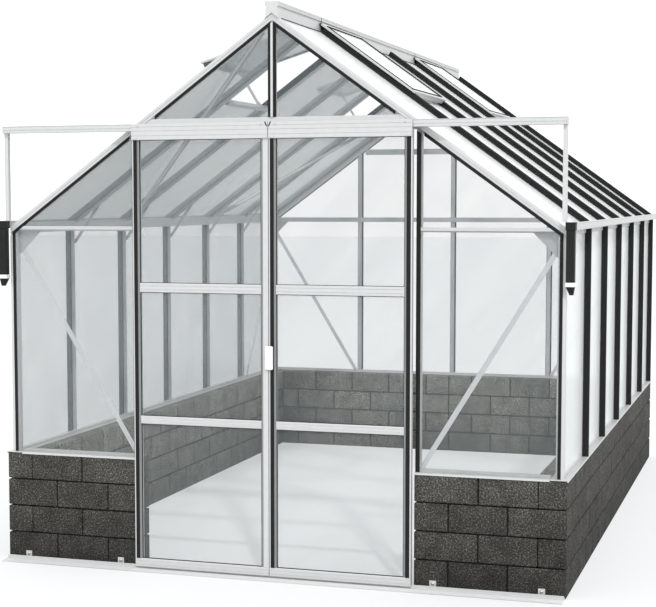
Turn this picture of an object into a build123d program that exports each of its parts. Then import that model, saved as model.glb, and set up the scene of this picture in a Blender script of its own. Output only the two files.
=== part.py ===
from build123d import *
import os
from math import atan2, cos, degrees, radians, sin, tan

# A glass greenhouse on a low block wall, with two sliding door leaves in its front gable.
# +X runs to the right seen from the front, +Y from the front gable to the back one, +Z up.
# The origin lies on the ground in the middle of the whole outline. Millimetres.

# Bays and heights
BAY = 640.0                # from bar to bar, on the sides and the gables
BAYS_WIDE = 4
BAYS_LONG = 6
WALL_H = 500.0             # block wall, ground to top
WALL_T = 140.0
WALL_LIP = 18.0            # block wall's outer face, proud of the glass
GLAZED_H = 1050.0          # wall top to the eaves line
PITCH = 36.0               # roof pitch, degrees

# Glass and glazing bars
GLASS_T = 4.0
PANE_GAP = 1.0             # pane edge to a bar's stem
STEM_W = 4.0               # web of a bar, between two panes
BAR_W = 22.0
BAR_D = 30.0               # gable bar, behind the glass
SLIM_D = 12.0              # side post or rafter, behind the glass
SIDE_IN = 5.0              # side glass, inside the corners' outer faces
SILL_T = 3.0               # sill plate
SILL_H = 11.0              # sill's upstand, behind the glass
SILL_D = 78.0
SILL_LIP = 4.0             # sill's outer lip, proud of the block wall
SILL_DROP = 6.0            # lip, below the wall's top
SILL_GAP = 0.3             # between two lengths of sill
REVEAL = 5.0               # block wall's end, outside the door bay
VERGE_W = 34.0             # bar along a gable's slope
VERGE_LIP = 25.0           # its bare face, outside the glass
VERGE_GAP = 0.4            # between the two bars at the apex
EAVES_H = 30.0             # eaves beam, below the eaves line
TRANSOM_H = 15.0           # bare face
TRANSOM_BACK = 5.0         # the part behind the glass, below that face
LINTEL_H = 62.0
TIE_H = 30.0
HEAD_TIE_H = 37.0
TIE_D = 12.0

# Black caps outside the bars, and flat black strips on the gables
CAP_W = 24.0
CAP_H = 28.0
CAP_END = 6.0              # roof cap's foot, up from the eaves line
SEAL_W = 19.0
SEAL_T = 4.0
LIP_W = 13.0               # bare metal outside a corner's strip
JAMB_LIP_W = 7.0           # bare metal beside the doorway
RIB_W = 10.0               # metal rib between two strips of a gable bar
RIB_OUT = 8.0              # rib, proud of the glass

# Ridge
RIDGE_WEB_W = 28.0
RIDGE_WEB_H = 85.0         # below the apex
RIDGE_FOOT_W = 64.0
RIDGE_NECK_W = 54.0
RIDGE_TOP_W = 62.0
RIDGE_TOP_H = 50.0         # above the apex
RIDGE_LIP_H = 22.0
RIDGE_OVER = 8.0           # past each gable

# Gutters and downpipes
GUTTER_W = 42.0
GUTTER_H = 34.0
GUTTER_T = 2.5
GUTTER_DROP = 7.0          # gutter's underside, below the eaves line
BOX_D = 44.0               # outlet box, in front of the gutter's end
PIPE_W = 36.0
PIPE_D = 36.0
PIPE_L = 232.0
BAND_H = 18.0
BAND_OUT = 3.0
SPOUT_L = 34.0
SPOUT_W = 16.0
SPOUT_WALL = 3.0

# Roof vents
VENT_BAYS = (1, 4)         # bays that hold a vent on each slope, counted from the front
VENT_L = 560.0             # along the slope
VENT_OVER = 16.0           # vent past the middle of its bars
VENT_RAIL_W = 22.0
VENT_RAIL_H = 10.0
VENT_REST = 0.4            # vent frame above the caps it closes on
VENT_OPEN = 19.0           # left vents, degrees
SILL_BAR_W = 20.0          # bar under a vent's free edge
SILL_BAR_H = 24.0
STAY_W = 14.0
STAY_T = 3.0
STAY_PEG = 120.0           # stay's foot, from the bay's back bar
TAB_H = 18.0               # stay's tab, above the roof glass
FIN_H = 20.0               # stay's fin, under the vent frame

# Flat braces
STRIP_W = 22.0
STRIP_T = 3.0
BRACE_HEAD = 60.0          # gable brace's head, below the eaves line
BRACE_STEP = 80.0          # side brace's head, below the gable brace's
BRACE_FOOT = 7.0           # feet, above the sill plate
ROOF_BRACE_IN = 60.0       # roof brace's ends, from the eaves and from the ridge
GUSSET_L = 110.0
KNEE_DROP = 92.0           # knee brace's foot, below the eaves line
KNEE_RUN = 150.0           # knee brace's head, in from the glass
KNEE_W = 16.0

# Door track, threshold and track posts
TRACK_OVER = 4.0           # track, past the glass at each end
TRACK_RISE = 8.0           # track's underside, above the lintel's
TRACK_H = 31.0
TRACK_D = 50.0
TRACK_T = 2.5
TRACK_SLOT = 12.0
TRACK_POST_W = 18.0
TRACK_POST_D = 20.0
TRACK_POST_BACK = 15.0     # post's back, in front of the glass
THRESHOLD_OVER = 13.0      # threshold, past the glass at each end
THRESHOLD_D = 95.0
THRESHOLD_T = 5.0
THRESHOLD_EDGE = 2.0
THRESHOLD_BACK_H = 8.0
THRESHOLD_BACK_W = 5.0
GUIDE_W = 3.0
GUIDE_H = 14.0             # rib above the threshold plate
CLIP_W = 30.0
CLIP_H = 30.0
CLIP_T = 2.0
CLIP_IN = 84.0             # clip's middle, from a block wall's end

# Door leaves
LEAF_GAP = 3.0             # between the two leaves
LEAF_D = 28.0
LEAF_CLEAR = 10.0          # leaf's back, in front of the block wall
LEAF_RISE = 11.0           # leaf's underside above the ground
LEAF_DROP = 7.0            # leaf's box, below the track
STILE_W = 33.0
FASCIA_H = 71.0            # fascia, its top level with the track's
FASCIA_T = 5.0
FASCIA_CLEAR = 5.0         # fascia, in front of the track
MID_RAIL_H = 42.0
LOW_RAIL_H = 36.0
BOTTOM_RAIL_H = 40.0
LOW_RAIL_Z = 667.0         # undersides of the two middle rails, above the ground
MID_RAIL_Z = 1260.0
GUIDE_SLOT_W = 9.0
GUIDE_SLOT_H = 18.0
DOOR_SEAL_W = 18.0
DOOR_LIP_W = 6.0
DOOR_SEAL_T = 1.0
ROLLER_D = 21.0
ROLLER_W = 7.0
ROLLER_IN = 90.0           # roller, from the leaf's edge
HANGER_W = 30.0
HANGER_T = 5.0
HANGER_IN = 8.0            # hanger's middle, in front of the leaf's back
ROLLER_GAP = 4.5           # roller to its hanger
ROLLER_LIFT = 0.3          # roller above the track's lips
AXLE_D = 6.0
HANDLE_W = 36.0
HANDLE_H = 104.0
HANDLE_T = 6.0
HANDLE_Z = 930.0
HANDLE_OFF = 6.0           # handle plate, in front of the leaf
HANDLE_LAP = 22.0          # handle plate, past the leaf's edge
HANDLE_FOOT_W = 12.0
DOOR_TRAVEL = 620.0

# Sizes that follow
HALF_W = BAY * BAYS_WIDE / 2
SIDE_X = HALF_W - SIDE_IN       # outer face of the side glass
LENGTH = BAY * BAYS_LONG
DOOR_HALF = BAY + REVEAL
FRAME_D = GLASS_T + BAR_D       # glass face to a gable bar's inner face
SLIM_IN = GLASS_T + SLIM_D      # glass face to a side post's or rafter's inner face
Z_EAVES = WALL_H + GLAZED_H
RISE = tan(radians(PITCH))
Z_APEX = Z_EAVES + HALF_W * RISE
UP = 1 / cos(radians(PITCH))    # vertical size of a band, per unit of its width square to the slope
FRONT_REACH = WALL_LIP + THRESHOLD_D
BACK_REACH = max(WALL_LIP + SILL_LIP, RIDGE_OVER)
Y_FRONT = FRONT_REACH - (LENGTH + FRONT_REACH + BACK_REACH) / 2
Y_BACK = Y_FRONT + LENGTH
SILL_FLAT = WALL_H + SILL_T
SILL_TOP = SILL_FLAT + SILL_H
EDGE = WALL_LIP + SILL_LIP      # glass to the sill's outer edge
BAR_TOP = Z_EAVES - EAVES_H     # top of the side posts and of the side glass
HALF_BAR = BAR_W / 2
HALF_RIB = RIB_W / 2
BARS = [BAY * n for n in range(1, BAYS_LONG)]   # side bars, back from the front gable
CAPS = BARS + [LENGTH - FRAME_D - CAP_W / 2]    # black caps, the last beside the back corner


def roof_z(x, depth=0.0):
    """Height of the roof's outer surface, or of a line at a depth under it, at a distance x."""
    return Z_APEX - abs(x) * RISE - depth * UP


def roof_x(z, depth=0.0):
    """Distance from the middle at which that surface or line has the height z."""
    return (Z_APEX - depth * UP - z) / RISE


HEAD_Z = roof_z(DOOR_HALF, VERGE_W)             # underside of the lintel
HEAD_TOP = HEAD_Z + LINTEL_H
TRANSOM_LOW = roof_z(HALF_W - FRAME_D, VERGE_W)
TRANSOM_Z = TRANSOM_LOW + TRANSOM_BACK
TRANSOM_TOP = TRANSOM_Z + TRANSOM_H
TRACK_Z = HEAD_Z + TRACK_RISE
TRACK_BACK = Y_FRONT - SEAL_T
LEAF_BACK = Y_FRONT - WALL_LIP - LEAF_CLEAR
LEAF_FRONT = LEAF_BACK - LEAF_D
LEAF_MID = (LEAF_BACK + LEAF_FRONT) / 2
LEAF_TOP = TRACK_Z - LEAF_DROP
LEAF_W = BAY - LEAF_GAP / 2
FASCIA_TOP = TRACK_Z + TRACK_H
FASCIA_Z = FASCIA_TOP - FASCIA_H
FASCIA_BACK = TRACK_BACK - TRACK_D - FASCIA_CLEAR
CAP_TOP = (HALF_W - RIDGE_FOOT_W / 2) / cos(radians(PITCH)) - STEM_W / 2
VENT_TOP = CAP_TOP + CAP_H * RISE
VENT_LOW = VENT_TOP - VENT_L
VENT_SILL = VENT_LOW + VENT_RAIL_W / 2


def front(y):
    """An upright plane at y that faces the front: its own x is X and its own y is Z."""
    return Plane(origin=(0, y, 0), x_dir=(1, 0, 0), z_dir=(0, -1, 0))


def side_plane(x):
    """An upright plane at x that faces right: its own x is Y, back from the front glass."""
    return Plane(origin=(x, Y_FRONT, 0), x_dir=(0, 1, 0), z_dir=(1, 0, 0))


def slope(height=0.0):
    """The right roof slope, raised by height: x runs to the back, y up from the eaves."""
    normal = Vector(sin(radians(PITCH)), 0, cos(radians(PITCH)))
    corner = Vector(HALF_W, Y_FRONT, Z_EAVES) + normal * height
    return Plane(origin=corner, x_dir=(0, 1, 0), z_dir=normal)


def on_slope(along, up, height):
    """The point at a distance from the front glass, up from the eaves and above the roof."""
    return slope(height).from_local_coords(Vector(along, up, 0))


def across_slope(along):
    """A plane across the right slope: x runs up the slope, y out of it, and it faces the back."""
    up_slope = (-cos(radians(PITCH)), 0, sin(radians(PITCH)))
    return Plane(origin=on_slope(along, 0, 0), x_dir=up_slope, z_dir=(0, 1, 0))


def left_of(part):
    """The same piece on the left."""
    return mirror(part, about=Plane.YZ, mode=Mode.PRIVATE)


def at_back(part):
    """The same piece at the back gable."""
    return mirror(part, about=front((Y_FRONT + Y_BACK) / 2), mode=Mode.PRIVATE)


def joined(*parts):
    """One part that holds several pieces."""
    with BuildPart() as group:
        for part in parts:
            add(part)
    return group.part


def both_sides(part):
    return joined(part, left_of(part))


def save(part, name):
    part.label = name
    export_step(part, f"parts/{name}.step")


def block(low, high, mode=Mode.ADD):
    """A box between two opposite corners."""
    size = [b - a for a, b in zip(low, high)]
    with Locations(tuple(low)):
        Box(*size, align=(Align.MIN, Align.MIN, Align.MIN), mode=mode)


def plate(plane, points, thickness):
    """A flat plate with the outline of the points, behind a plane."""
    with BuildSketch(plane) as outline:
        with BuildLine():
            Polyline(*points, close=True)
        make_face()
    extrude(outline.sketch, amount=-thickness)


def panel(plane, low, high, thickness, mode=Mode.ADD):
    """A rectangular plate between two corners on a plane, in front of it."""
    size = (high[0] - low[0], high[1] - low[1])
    with BuildSketch(plane) as outline:
        with Locations(low):
            Rectangle(*size, align=(Align.MIN, Align.MIN))
    extrude(outline.sketch, amount=thickness, mode=mode)


def strip(plane, start, end, width, thickness):
    """A flat bar from one point of a plane to another, in front of the plane."""
    run = Vector(*end) - Vector(*start)
    middle = (Vector(*start) + Vector(*end)) / 2
    with BuildSketch(plane) as outline:
        with Locations(middle):
            Rectangle(run.length, width, rotation=degrees(atan2(run.Y, run.X)))
    extrude(outline.sketch, amount=thickness)


def under_roof(x0, x1, z0, depth):
    """Outline of an upright from z0 to a line under the roof, between x0 and x1."""
    points = [(x0, z0), (x1, z0), (x1, roof_z(x1, depth))]
    if x0 < 0 < x1:
        points.append((0, roof_z(0, depth)))
    return points + [(x0, roof_z(x0, depth))]


def along_roof(x0, x1, top, bottom):
    """Outline of a band along the right slope of a gable, between two depths under it."""
    return [(x0, roof_z(x0, top)), (x1, roof_z(x1, top)), (x1, roof_z(x1, bottom)), (x0, roof_z(x0, bottom))]


os.makedirs("parts", exist_ok=True)


# Block wall: long sides run the full depth, the gable walls stand between them
wall_x = HALF_W + WALL_LIP
wall_front = Y_FRONT - WALL_LIP
wall_back = Y_BACK + WALL_LIP
inner_x = wall_x - WALL_T

with BuildPart() as plinth_right:
    block((inner_x, wall_front, 0), (wall_x, wall_back, WALL_H))
save(plinth_right.part, "plinth_right")
save(left_of(plinth_right.part), "plinth_left")

with BuildPart() as plinth_back:
    block((-inner_x, wall_back - WALL_T, 0), (inner_x, wall_back, WALL_H))
save(plinth_back.part, "plinth_back")

with BuildPart() as plinth_front_right:
    block((DOOR_HALF, wall_front, 0), (inner_x, wall_front + WALL_T, WALL_H))
save(plinth_front_right.part, "plinth_front_right")
save(left_of(plinth_front_right.part), "plinth_front_left")


# Sills: a plate on the wall, a lip over its outer edge and an upstand behind the glass
sill_outer = HALF_W + EDGE
sill_inner = sill_outer - SILL_D
upstand_x = HALF_W - FRAME_D

with BuildPart() as side_sill:
    block((sill_inner, Y_FRONT - EDGE, WALL_H), (sill_outer, Y_BACK + EDGE, SILL_FLAT))
    block((wall_x, Y_FRONT - EDGE, WALL_H - SILL_DROP), (sill_outer, Y_BACK + EDGE, WALL_H))
    block((upstand_x, Y_FRONT + FRAME_D, SILL_FLAT), (SIDE_X - GLASS_T, Y_BACK - FRAME_D, SILL_TOP))

with BuildPart() as front_sill:
    plate_end = sill_inner - SILL_GAP
    block((DOOR_HALF, Y_FRONT - EDGE, WALL_H), (plate_end, Y_FRONT - EDGE + SILL_D, SILL_FLAT))
    block((DOOR_HALF, Y_FRONT - EDGE, WALL_H - SILL_DROP), (plate_end, wall_front, WALL_H))
    block(
        (DOOR_HALF + BAR_W, Y_FRONT + GLASS_T, SILL_FLAT),
        (plate_end, Y_FRONT + FRAME_D, SILL_TOP),
    )

with BuildPart() as back_sill:
    block((-plate_end, Y_BACK + EDGE - SILL_D, WALL_H), (plate_end, Y_BACK + EDGE, SILL_FLAT))
    block((-plate_end, wall_back, WALL_H - SILL_DROP), (plate_end, Y_BACK + EDGE, WALL_H))
    block(
        (-plate_end, Y_BACK - FRAME_D, SILL_FLAT),
        (plate_end, Y_BACK - GLASS_T, SILL_TOP),
    )
save(joined(both_sides(side_sill.part), both_sides(front_sill.part), back_sill.part), "sills")


# Corner posts: a square post behind the glass and a bare lip beside the gable's glass
with BuildPart() as corner_post:
    plate(front(Y_FRONT + GLASS_T), under_roof(HALF_W - FRAME_D, HALF_W, SILL_FLAT, VERGE_W), BAR_D)
    plate(front(Y_FRONT), under_roof(HALF_W - LIP_W, HALF_W, SILL_FLAT, VERGE_W), GLASS_T)
corner_pair = both_sides(corner_post.part)
save(joined(corner_pair, at_back(corner_pair)), "corner_posts")


# Verge bars: along the gable slopes, with a bare face outside the glass
with BuildPart() as verge_bar:
    plate(front(Y_FRONT + GLASS_T), along_roof(VERGE_GAP / 2, HALF_W, 0, VERGE_W), BAR_D)
    plate(front(Y_FRONT), along_roof(VERGE_GAP / 2, HALF_W, 0, VERGE_LIP), GLASS_T)
verge_pair = both_sides(verge_bar.part)
save(joined(verge_pair, at_back(verge_pair)), "verge_bars")


# Side posts: a bar behind the glass, with a stem between two panes
with BuildPart() as side_posts:
    for along in BARS:
        y = Y_FRONT + along
        block((SIDE_X - SLIM_IN, y - HALF_BAR, SILL_TOP), (SIDE_X - GLASS_T, y + HALF_BAR, BAR_TOP))
        block((SIDE_X - GLASS_T, y - STEM_W / 2, SILL_TOP), (SIDE_X, y + STEM_W / 2, BAR_TOP))
save(both_sides(side_posts.part), "side_posts")


# Eaves beams, under the lower edge of the roof glass
with BuildPart() as eaves_beam:
    outline = [
        (upstand_x, BAR_TOP),
        (HALF_W, BAR_TOP),
        (HALF_W, roof_z(HALF_W, GLASS_T)),
        (upstand_x, roof_z(upstand_x, GLASS_T)),
    ]
    plate(front(Y_FRONT + FRAME_D), outline, LENGTH - 2 * FRAME_D)
save(both_sides(eaves_beam.part), "eaves_beams")


# Rafters: bars under the roof glass, with a stem between two panes
rafter_low = (FRAME_D - GLASS_T * sin(radians(PITCH))) / cos(radians(PITCH)) + SILL_GAP
rafter_top = (HALF_W - RIDGE_WEB_W / 2 - SLIM_IN * sin(radians(PITCH))) / cos(radians(PITCH))
glass_top = (HALF_W - RIDGE_WEB_W / 2) / cos(radians(PITCH))

with BuildPart() as rafters:
    for along in BARS:
        panel(slope(-SLIM_IN), (along - HALF_BAR, rafter_low), (along + HALF_BAR, rafter_top), SLIM_D)
        stem_top = glass_top - GLASS_T * RISE
        panel(slope(-GLASS_T), (along - STEM_W / 2, 0), (along + STEM_W / 2, stem_top), GLASS_T)
save(both_sides(rafters.part), "rafters")


# Ridge: a beam between the rafters and a raised cap over the top edges of the glass
with BuildPart() as ridge_beam:
    half_web = RIDGE_WEB_W / 2
    outline = under_roof(-half_web, half_web, Z_APEX - RIDGE_WEB_H, 0)
    plate(front(Y_FRONT + FRAME_D), outline, LENGTH - 2 * FRAME_D)
save(ridge_beam.part, "ridge_beam")

with BuildPart() as ridge_cap:
    crest_z = Z_APEX + RIDGE_TOP_H
    right = [
        (RIDGE_FOOT_W / 2, roof_z(RIDGE_FOOT_W / 2)),
        (RIDGE_NECK_W / 2, crest_z - RIDGE_LIP_H - RIDGE_OVER / 2),
        (RIDGE_TOP_W / 2, crest_z - RIDGE_LIP_H),
        (RIDGE_TOP_W / 2, crest_z),
    ]
    left = [(-x, z) for x, z in reversed(right)]
    plate(front(Y_FRONT - RIDGE_OVER), [(0, Z_APEX)] + right + left, LENGTH + 2 * RIDGE_OVER)
save(ridge_cap.part, "ridge_cap")


# Front gable: door jambs, lintel, king post and the transoms of the side panels
jamb_in = DOOR_HALF
jamb_out = DOOR_HALF + BAR_W
jamb_lip = DOOR_HALF + JAMB_LIP_W

with BuildPart() as jamb:
    plate(front(Y_FRONT + GLASS_T), under_roof(jamb_in, jamb_out, SILL_FLAT, VERGE_W), BAR_D)
    plate(front(Y_FRONT), under_roof(jamb_in, jamb_lip, SILL_FLAT, VERGE_W), GLASS_T)

with BuildPart() as king_post:
    plate(front(Y_FRONT + GLASS_T), under_roof(-HALF_BAR, HALF_BAR, HEAD_TOP, VERGE_W), BAR_D)
    plate(front(Y_FRONT - RIB_OUT), under_roof(-HALF_RIB, HALF_RIB, HEAD_TOP, VERGE_W), RIB_OUT + GLASS_T)
save(joined(both_sides(jamb.part), king_post.part), "front_bars")

with BuildPart() as transom:
    behind = [
        (jamb_out, TRANSOM_LOW),
        (HALF_W - FRAME_D, TRANSOM_LOW),
        (roof_x(TRANSOM_TOP, VERGE_W), TRANSOM_TOP),
        (jamb_out, TRANSOM_TOP),
    ]
    plate(front(Y_FRONT + GLASS_T), behind, BAR_D)
    face = [
        (jamb_lip, TRANSOM_Z),
        (roof_x(TRANSOM_Z, VERGE_W), TRANSOM_Z),
        (roof_x(TRANSOM_TOP, VERGE_W), TRANSOM_TOP),
        (jamb_lip, TRANSOM_TOP),
    ]
    plate(front(Y_FRONT), face, GLASS_T)

with BuildPart() as lintel:
    top_x = roof_x(HEAD_TOP, VERGE_W)
    outline = [(-DOOR_HALF, HEAD_Z), (DOOR_HALF, HEAD_Z), (top_x, HEAD_TOP), (-top_x, HEAD_TOP)]
    plate(front(Y_FRONT), outline, FRAME_D)
save(joined(both_sides(transom.part), lintel.part), "front_rails")


# Back gable: upright bars, and two ties across their inner faces
with BuildPart() as back_bars:
    for x in (-BAY, 0, BAY):
        outline = under_roof(x - HALF_BAR, x + HALF_BAR, SILL_TOP, VERGE_W)
        plate(front(Y_BACK - FRAME_D), outline, BAR_D)
        outline = under_roof(x - HALF_RIB, x + HALF_RIB, SILL_FLAT, VERGE_W)
        plate(front(Y_BACK - GLASS_T), outline, GLASS_T + RIB_OUT)
save(back_bars.part, "back_bars")

with BuildPart() as back_ties:
    tie_back = Y_BACK - FRAME_D
    block((-upstand_x, tie_back - TIE_D, BAR_TOP), (upstand_x, tie_back, BAR_TOP + TIE_H))
    tie_x = roof_x(HEAD_Z + HEAD_TIE_H, VERGE_W)
    block((-tie_x, tie_back - TIE_D, HEAD_Z), (tie_x, tie_back, HEAD_Z + HEAD_TIE_H))
save(back_ties.part, "back_ties")


# Glass
def panes(first, last):
    """Ends of the panes along a side, one a bay, between the gables' frames."""
    ends = [first] + [along + side * (STEM_W / 2 + PANE_GAP) for along in BARS for side in (-1, 1)] + [last]
    return list(zip(ends[::2], ends[1::2]))


PANES = panes(FRAME_D, LENGTH - FRAME_D)

with BuildPart() as side_glass:
    for start, end in PANES:
        panel(side_plane(SIDE_X - GLASS_T), (start, SILL_FLAT), (end, BAR_TOP), GLASS_T)
save(both_sides(side_glass.part), "side_glass")

with BuildPart() as roof_glass:
    for number, (start, end) in enumerate(PANES):
        top = VENT_SILL if number in VENT_BAYS else glass_top
        panel(slope(-GLASS_T), (start, 0), (end, top - GLASS_T * RISE), GLASS_T)
save(both_sides(roof_glass.part), "roof_glass")

with BuildPart() as front_glass:
    lower = [
        (jamb_lip, SILL_FLAT),
        (HALF_W - LIP_W, SILL_FLAT),
        (HALF_W - LIP_W, roof_z(HALF_W - LIP_W, VERGE_W)),
        (roof_x(TRANSOM_Z, VERGE_W), TRANSOM_Z),
        (jamb_lip, TRANSOM_Z),
    ]
    plate(front(Y_FRONT), lower, GLASS_T)
    upper = [
        (jamb_lip, TRANSOM_TOP),
        (roof_x(TRANSOM_TOP, VERGE_LIP), TRANSOM_TOP),
        (jamb_lip, roof_z(jamb_lip, VERGE_LIP)),
    ]
    plate(front(Y_FRONT), upper, GLASS_T)
    middle = [
        (HALF_RIB, HEAD_TOP),
        (roof_x(HEAD_TOP, VERGE_LIP), HEAD_TOP),
        (HALF_RIB, roof_z(HALF_RIB, VERGE_LIP)),
    ]
    plate(front(Y_FRONT), middle, GLASS_T)
save(both_sides(front_glass.part), "gable_glass_front")

with BuildPart() as back_glass:
    for x0, x1 in ((HALF_RIB, BAY - HALF_RIB), (BAY + HALF_RIB, HALF_W - LIP_W)):
        plate(front(Y_BACK - GLASS_T), under_roof(x0, x1, SILL_FLAT, VERGE_LIP), GLASS_T)
save(both_sides(back_glass.part), "gable_glass_back")


# Black caps over the side posts and rafters
with BuildPart() as wall_caps:
    gutter_low = Z_EAVES - GUTTER_DROP
    for along in CAPS:
        near, far = Y_FRONT + along - CAP_W / 2, Y_FRONT + along + CAP_W / 2
        block((SIDE_X, near, SILL_FLAT), (SIDE_X + CAP_H, far, BAR_TOP))
        block((HALF_W, near, BAR_TOP), (SIDE_X + CAP_H, far, gutter_low))
save(both_sides(wall_caps.part), "wall_caps")

with BuildPart() as roof_caps:
    for along in CAPS:
        panel(slope(), (along - CAP_W / 2, CAP_END), (along + CAP_W / 2, CAP_TOP), CAP_H)
save(both_sides(roof_caps.part), "roof_caps")


# Flat black strips over the edges of the gable glass
SEAL_DEPTH = VERGE_LIP + SEAL_W

with BuildPart() as front_seals:
    seal_plane = front(Y_FRONT - SEAL_T)
    plate(seal_plane, along_roof(HALF_RIB, roof_x(HEAD_TOP, SEAL_DEPTH), VERGE_LIP, SEAL_DEPTH), SEAL_T)
    low_end = roof_x(TRANSOM_TOP, SEAL_DEPTH)
    plate(seal_plane, along_roof(DOOR_HALF + STILE_W, low_end, VERGE_LIP, SEAL_DEPTH), SEAL_T)
    jamb_seal = [
        (jamb_lip, SILL_FLAT),
        (jamb_lip + SEAL_W, SILL_FLAT),
        (jamb_lip + SEAL_W, roof_z(DOOR_HALF + STILE_W, SEAL_DEPTH)),
        (jamb_lip, roof_z(DOOR_HALF + STILE_W, SEAL_DEPTH)),
    ]
    plate(seal_plane, jamb_seal, SEAL_T)
    block(
        (HALF_W - LIP_W - SEAL_W, Y_FRONT - SEAL_T, SILL_FLAT),
        (HALF_W - LIP_W, Y_FRONT, TRANSOM_Z - TRANSOM_BACK),
    )
    king_seal = under_roof(HALF_RIB, HALF_RIB + SEAL_W, HEAD_TOP, SEAL_DEPTH)
    plate(seal_plane, king_seal, SEAL_T)
save(both_sides(front_seals.part), "gable_seals_front")


with BuildPart() as back_seals:
    seal_plane = front(Y_BACK)
    plate(seal_plane, along_roof(HALF_RIB, BAY - HALF_RIB, VERGE_LIP, SEAL_DEPTH), SEAL_T)
    plate(seal_plane, along_roof(BAY + HALF_RIB, HALF_W - LIP_W, VERGE_LIP, SEAL_DEPTH), SEAL_T)
    for x in (HALF_RIB, BAY - HALF_RIB - SEAL_W, BAY + HALF_RIB, HALF_W - LIP_W - SEAL_W):
        plate(seal_plane, under_roof(x, x + SEAL_W, SILL_FLAT, SEAL_DEPTH), SEAL_T)
save(both_sides(back_seals.part), "gable_seals_back")


# Roof vents: a frame with a pane on the caps of each vent bay, shut on the right, open on the left
VENT_BASE = CAP_H + VENT_REST
HINGE = on_slope(0, VENT_TOP, VENT_BASE)
STAY_ALONG = [BAY * (number + 1) - STAY_PEG for number in VENT_BAYS]

with BuildPart() as vent_frames:
    for number in VENT_BAYS:
        near = BAY * number - VENT_OVER
        far = BAY * (number + 1) + VENT_OVER
        panel(slope(VENT_BASE), (near, VENT_LOW), (far, VENT_TOP), VENT_RAIL_H)
        inner_low = (near + VENT_RAIL_W, VENT_LOW + VENT_RAIL_W)
        inner_high = (far - VENT_RAIL_W, VENT_TOP - VENT_RAIL_W)
        panel(slope(VENT_BASE), inner_low, inner_high, VENT_RAIL_H, Mode.SUBTRACT)
    for along in STAY_ALONG:
        fin_end = (along + STAY_T, VENT_LOW + VENT_RAIL_W)
        panel(slope(VENT_BASE - FIN_H), (along, VENT_LOW), fin_end, FIN_H)

with BuildPart() as vent_glass:
    for number in VENT_BAYS:
        near = BAY * number - VENT_OVER + VENT_RAIL_W
        far = BAY * (number + 1) + VENT_OVER - VENT_RAIL_W
        level = VENT_BASE + (VENT_RAIL_H - GLASS_T) / 2
        panel(slope(level), (near, VENT_LOW + VENT_RAIL_W), (far, VENT_TOP - VENT_RAIL_W), GLASS_T)


def opened(part):
    """The left copy of a vent piece, swung up about its hinge by the ridge."""
    return left_of(part).rotate(Axis((-HINGE.X, 0, HINGE.Z), (0, 1, 0)), VENT_OPEN)


save(joined(vent_frames.part, opened(vent_frames.part)), "vent_frames")
save(joined(vent_glass.part, opened(vent_glass.part)), "vent_glass")

with BuildPart() as vent_sills:
    for number in VENT_BAYS:
        near = BAY * number + HALF_BAR
        far = BAY * (number + 1) - HALF_BAR
        panel(slope(-SILL_BAR_H), (near, VENT_SILL), (far, VENT_SILL + SILL_BAR_W), SILL_BAR_H)
    for along in STAY_ALONG:
        tab = along + 2 * STAY_T
        panel(slope(), (tab, VENT_SILL), (tab + STAY_T, VENT_SILL + SILL_BAR_W), TAB_H)
save(both_sides(vent_sills.part), "vent_sills")

# A stay runs from its tab on the sill bar to the fin under the vent frame
fin_out = VENT_L - VENT_RAIL_W / 2
fin_in = FIN_H / 2
swing = radians(VENT_OPEN)
stay_foot = (VENT_SILL + SILL_BAR_W / 2, TAB_H / 2)
stay_head = (
    VENT_TOP - fin_out * cos(swing) - fin_in * sin(swing),
    VENT_BASE + fin_out * sin(swing) - fin_in * cos(swing),
)
stay_l = (Vector(*stay_head) - Vector(*stay_foot)).length

with BuildPart() as shut_stays:
    for along in STAY_ALONG:
        end = (stay_foot[0] + stay_l, stay_foot[1])
        strip(across_slope(along + STAY_T), stay_foot, end, STAY_W, STAY_T)

with BuildPart() as open_stays:
    for along in STAY_ALONG:
        strip(across_slope(along + STAY_T), stay_foot, stay_head, STAY_W, STAY_T)
save(joined(shut_stays.part, left_of(open_stays.part)), "vent_stays")


# Flat braces inside the glass: on the gables, in the last bay of the sides and under the roof
brace_head = Z_EAVES - BRACE_HEAD
brace_foot = SILL_FLAT + BRACE_FOOT

with BuildPart() as gable_brace:
    head_point = (SIDE_X - FRAME_D / 2, brace_head)
    foot_point = (BAY + BAR_W, brace_foot)
    strip(front(Y_FRONT + FRAME_D + STRIP_T), foot_point, head_point, STRIP_W, STRIP_T)

with BuildPart() as side_brace:
    head_point = (LENGTH - FRAME_D / 2, brace_head - BRACE_STEP)
    foot_point = (BARS[-1], brace_foot)
    strip(side_plane(upstand_x - STRIP_T), foot_point, head_point, STRIP_W, STRIP_T)

with BuildPart() as roof_braces:
    brace_top = glass_top - ROOF_BRACE_IN
    brace_end = FRAME_D + STRIP_W / 2
    under_bars = slope(-SLIM_IN - STRIP_T)
    strip(under_bars, (BARS[1], ROOF_BRACE_IN), (brace_end, brace_top), STRIP_W, STRIP_T)
    strip(under_bars, (BARS[3], ROOF_BRACE_IN), (LENGTH - brace_end, brace_top), STRIP_W, STRIP_T)
gable_braces = joined(gable_brace.part, at_back(gable_brace.part))
save(both_sides(joined(gable_braces, side_brace.part, roof_braces.part)), "braces")

with BuildPart() as gusset:
    corner = (upstand_x, TRANSOM_LOW)
    outline = [corner, (upstand_x, TRANSOM_LOW - GUSSET_L), (upstand_x - GUSSET_L, TRANSOM_LOW)]
    plate(front(Y_FRONT + FRAME_D - STRIP_T), outline, STRIP_T)
gusset_pair = both_sides(gusset.part)
save(joined(gusset_pair, at_back(gusset_pair)), "gussets")

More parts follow.
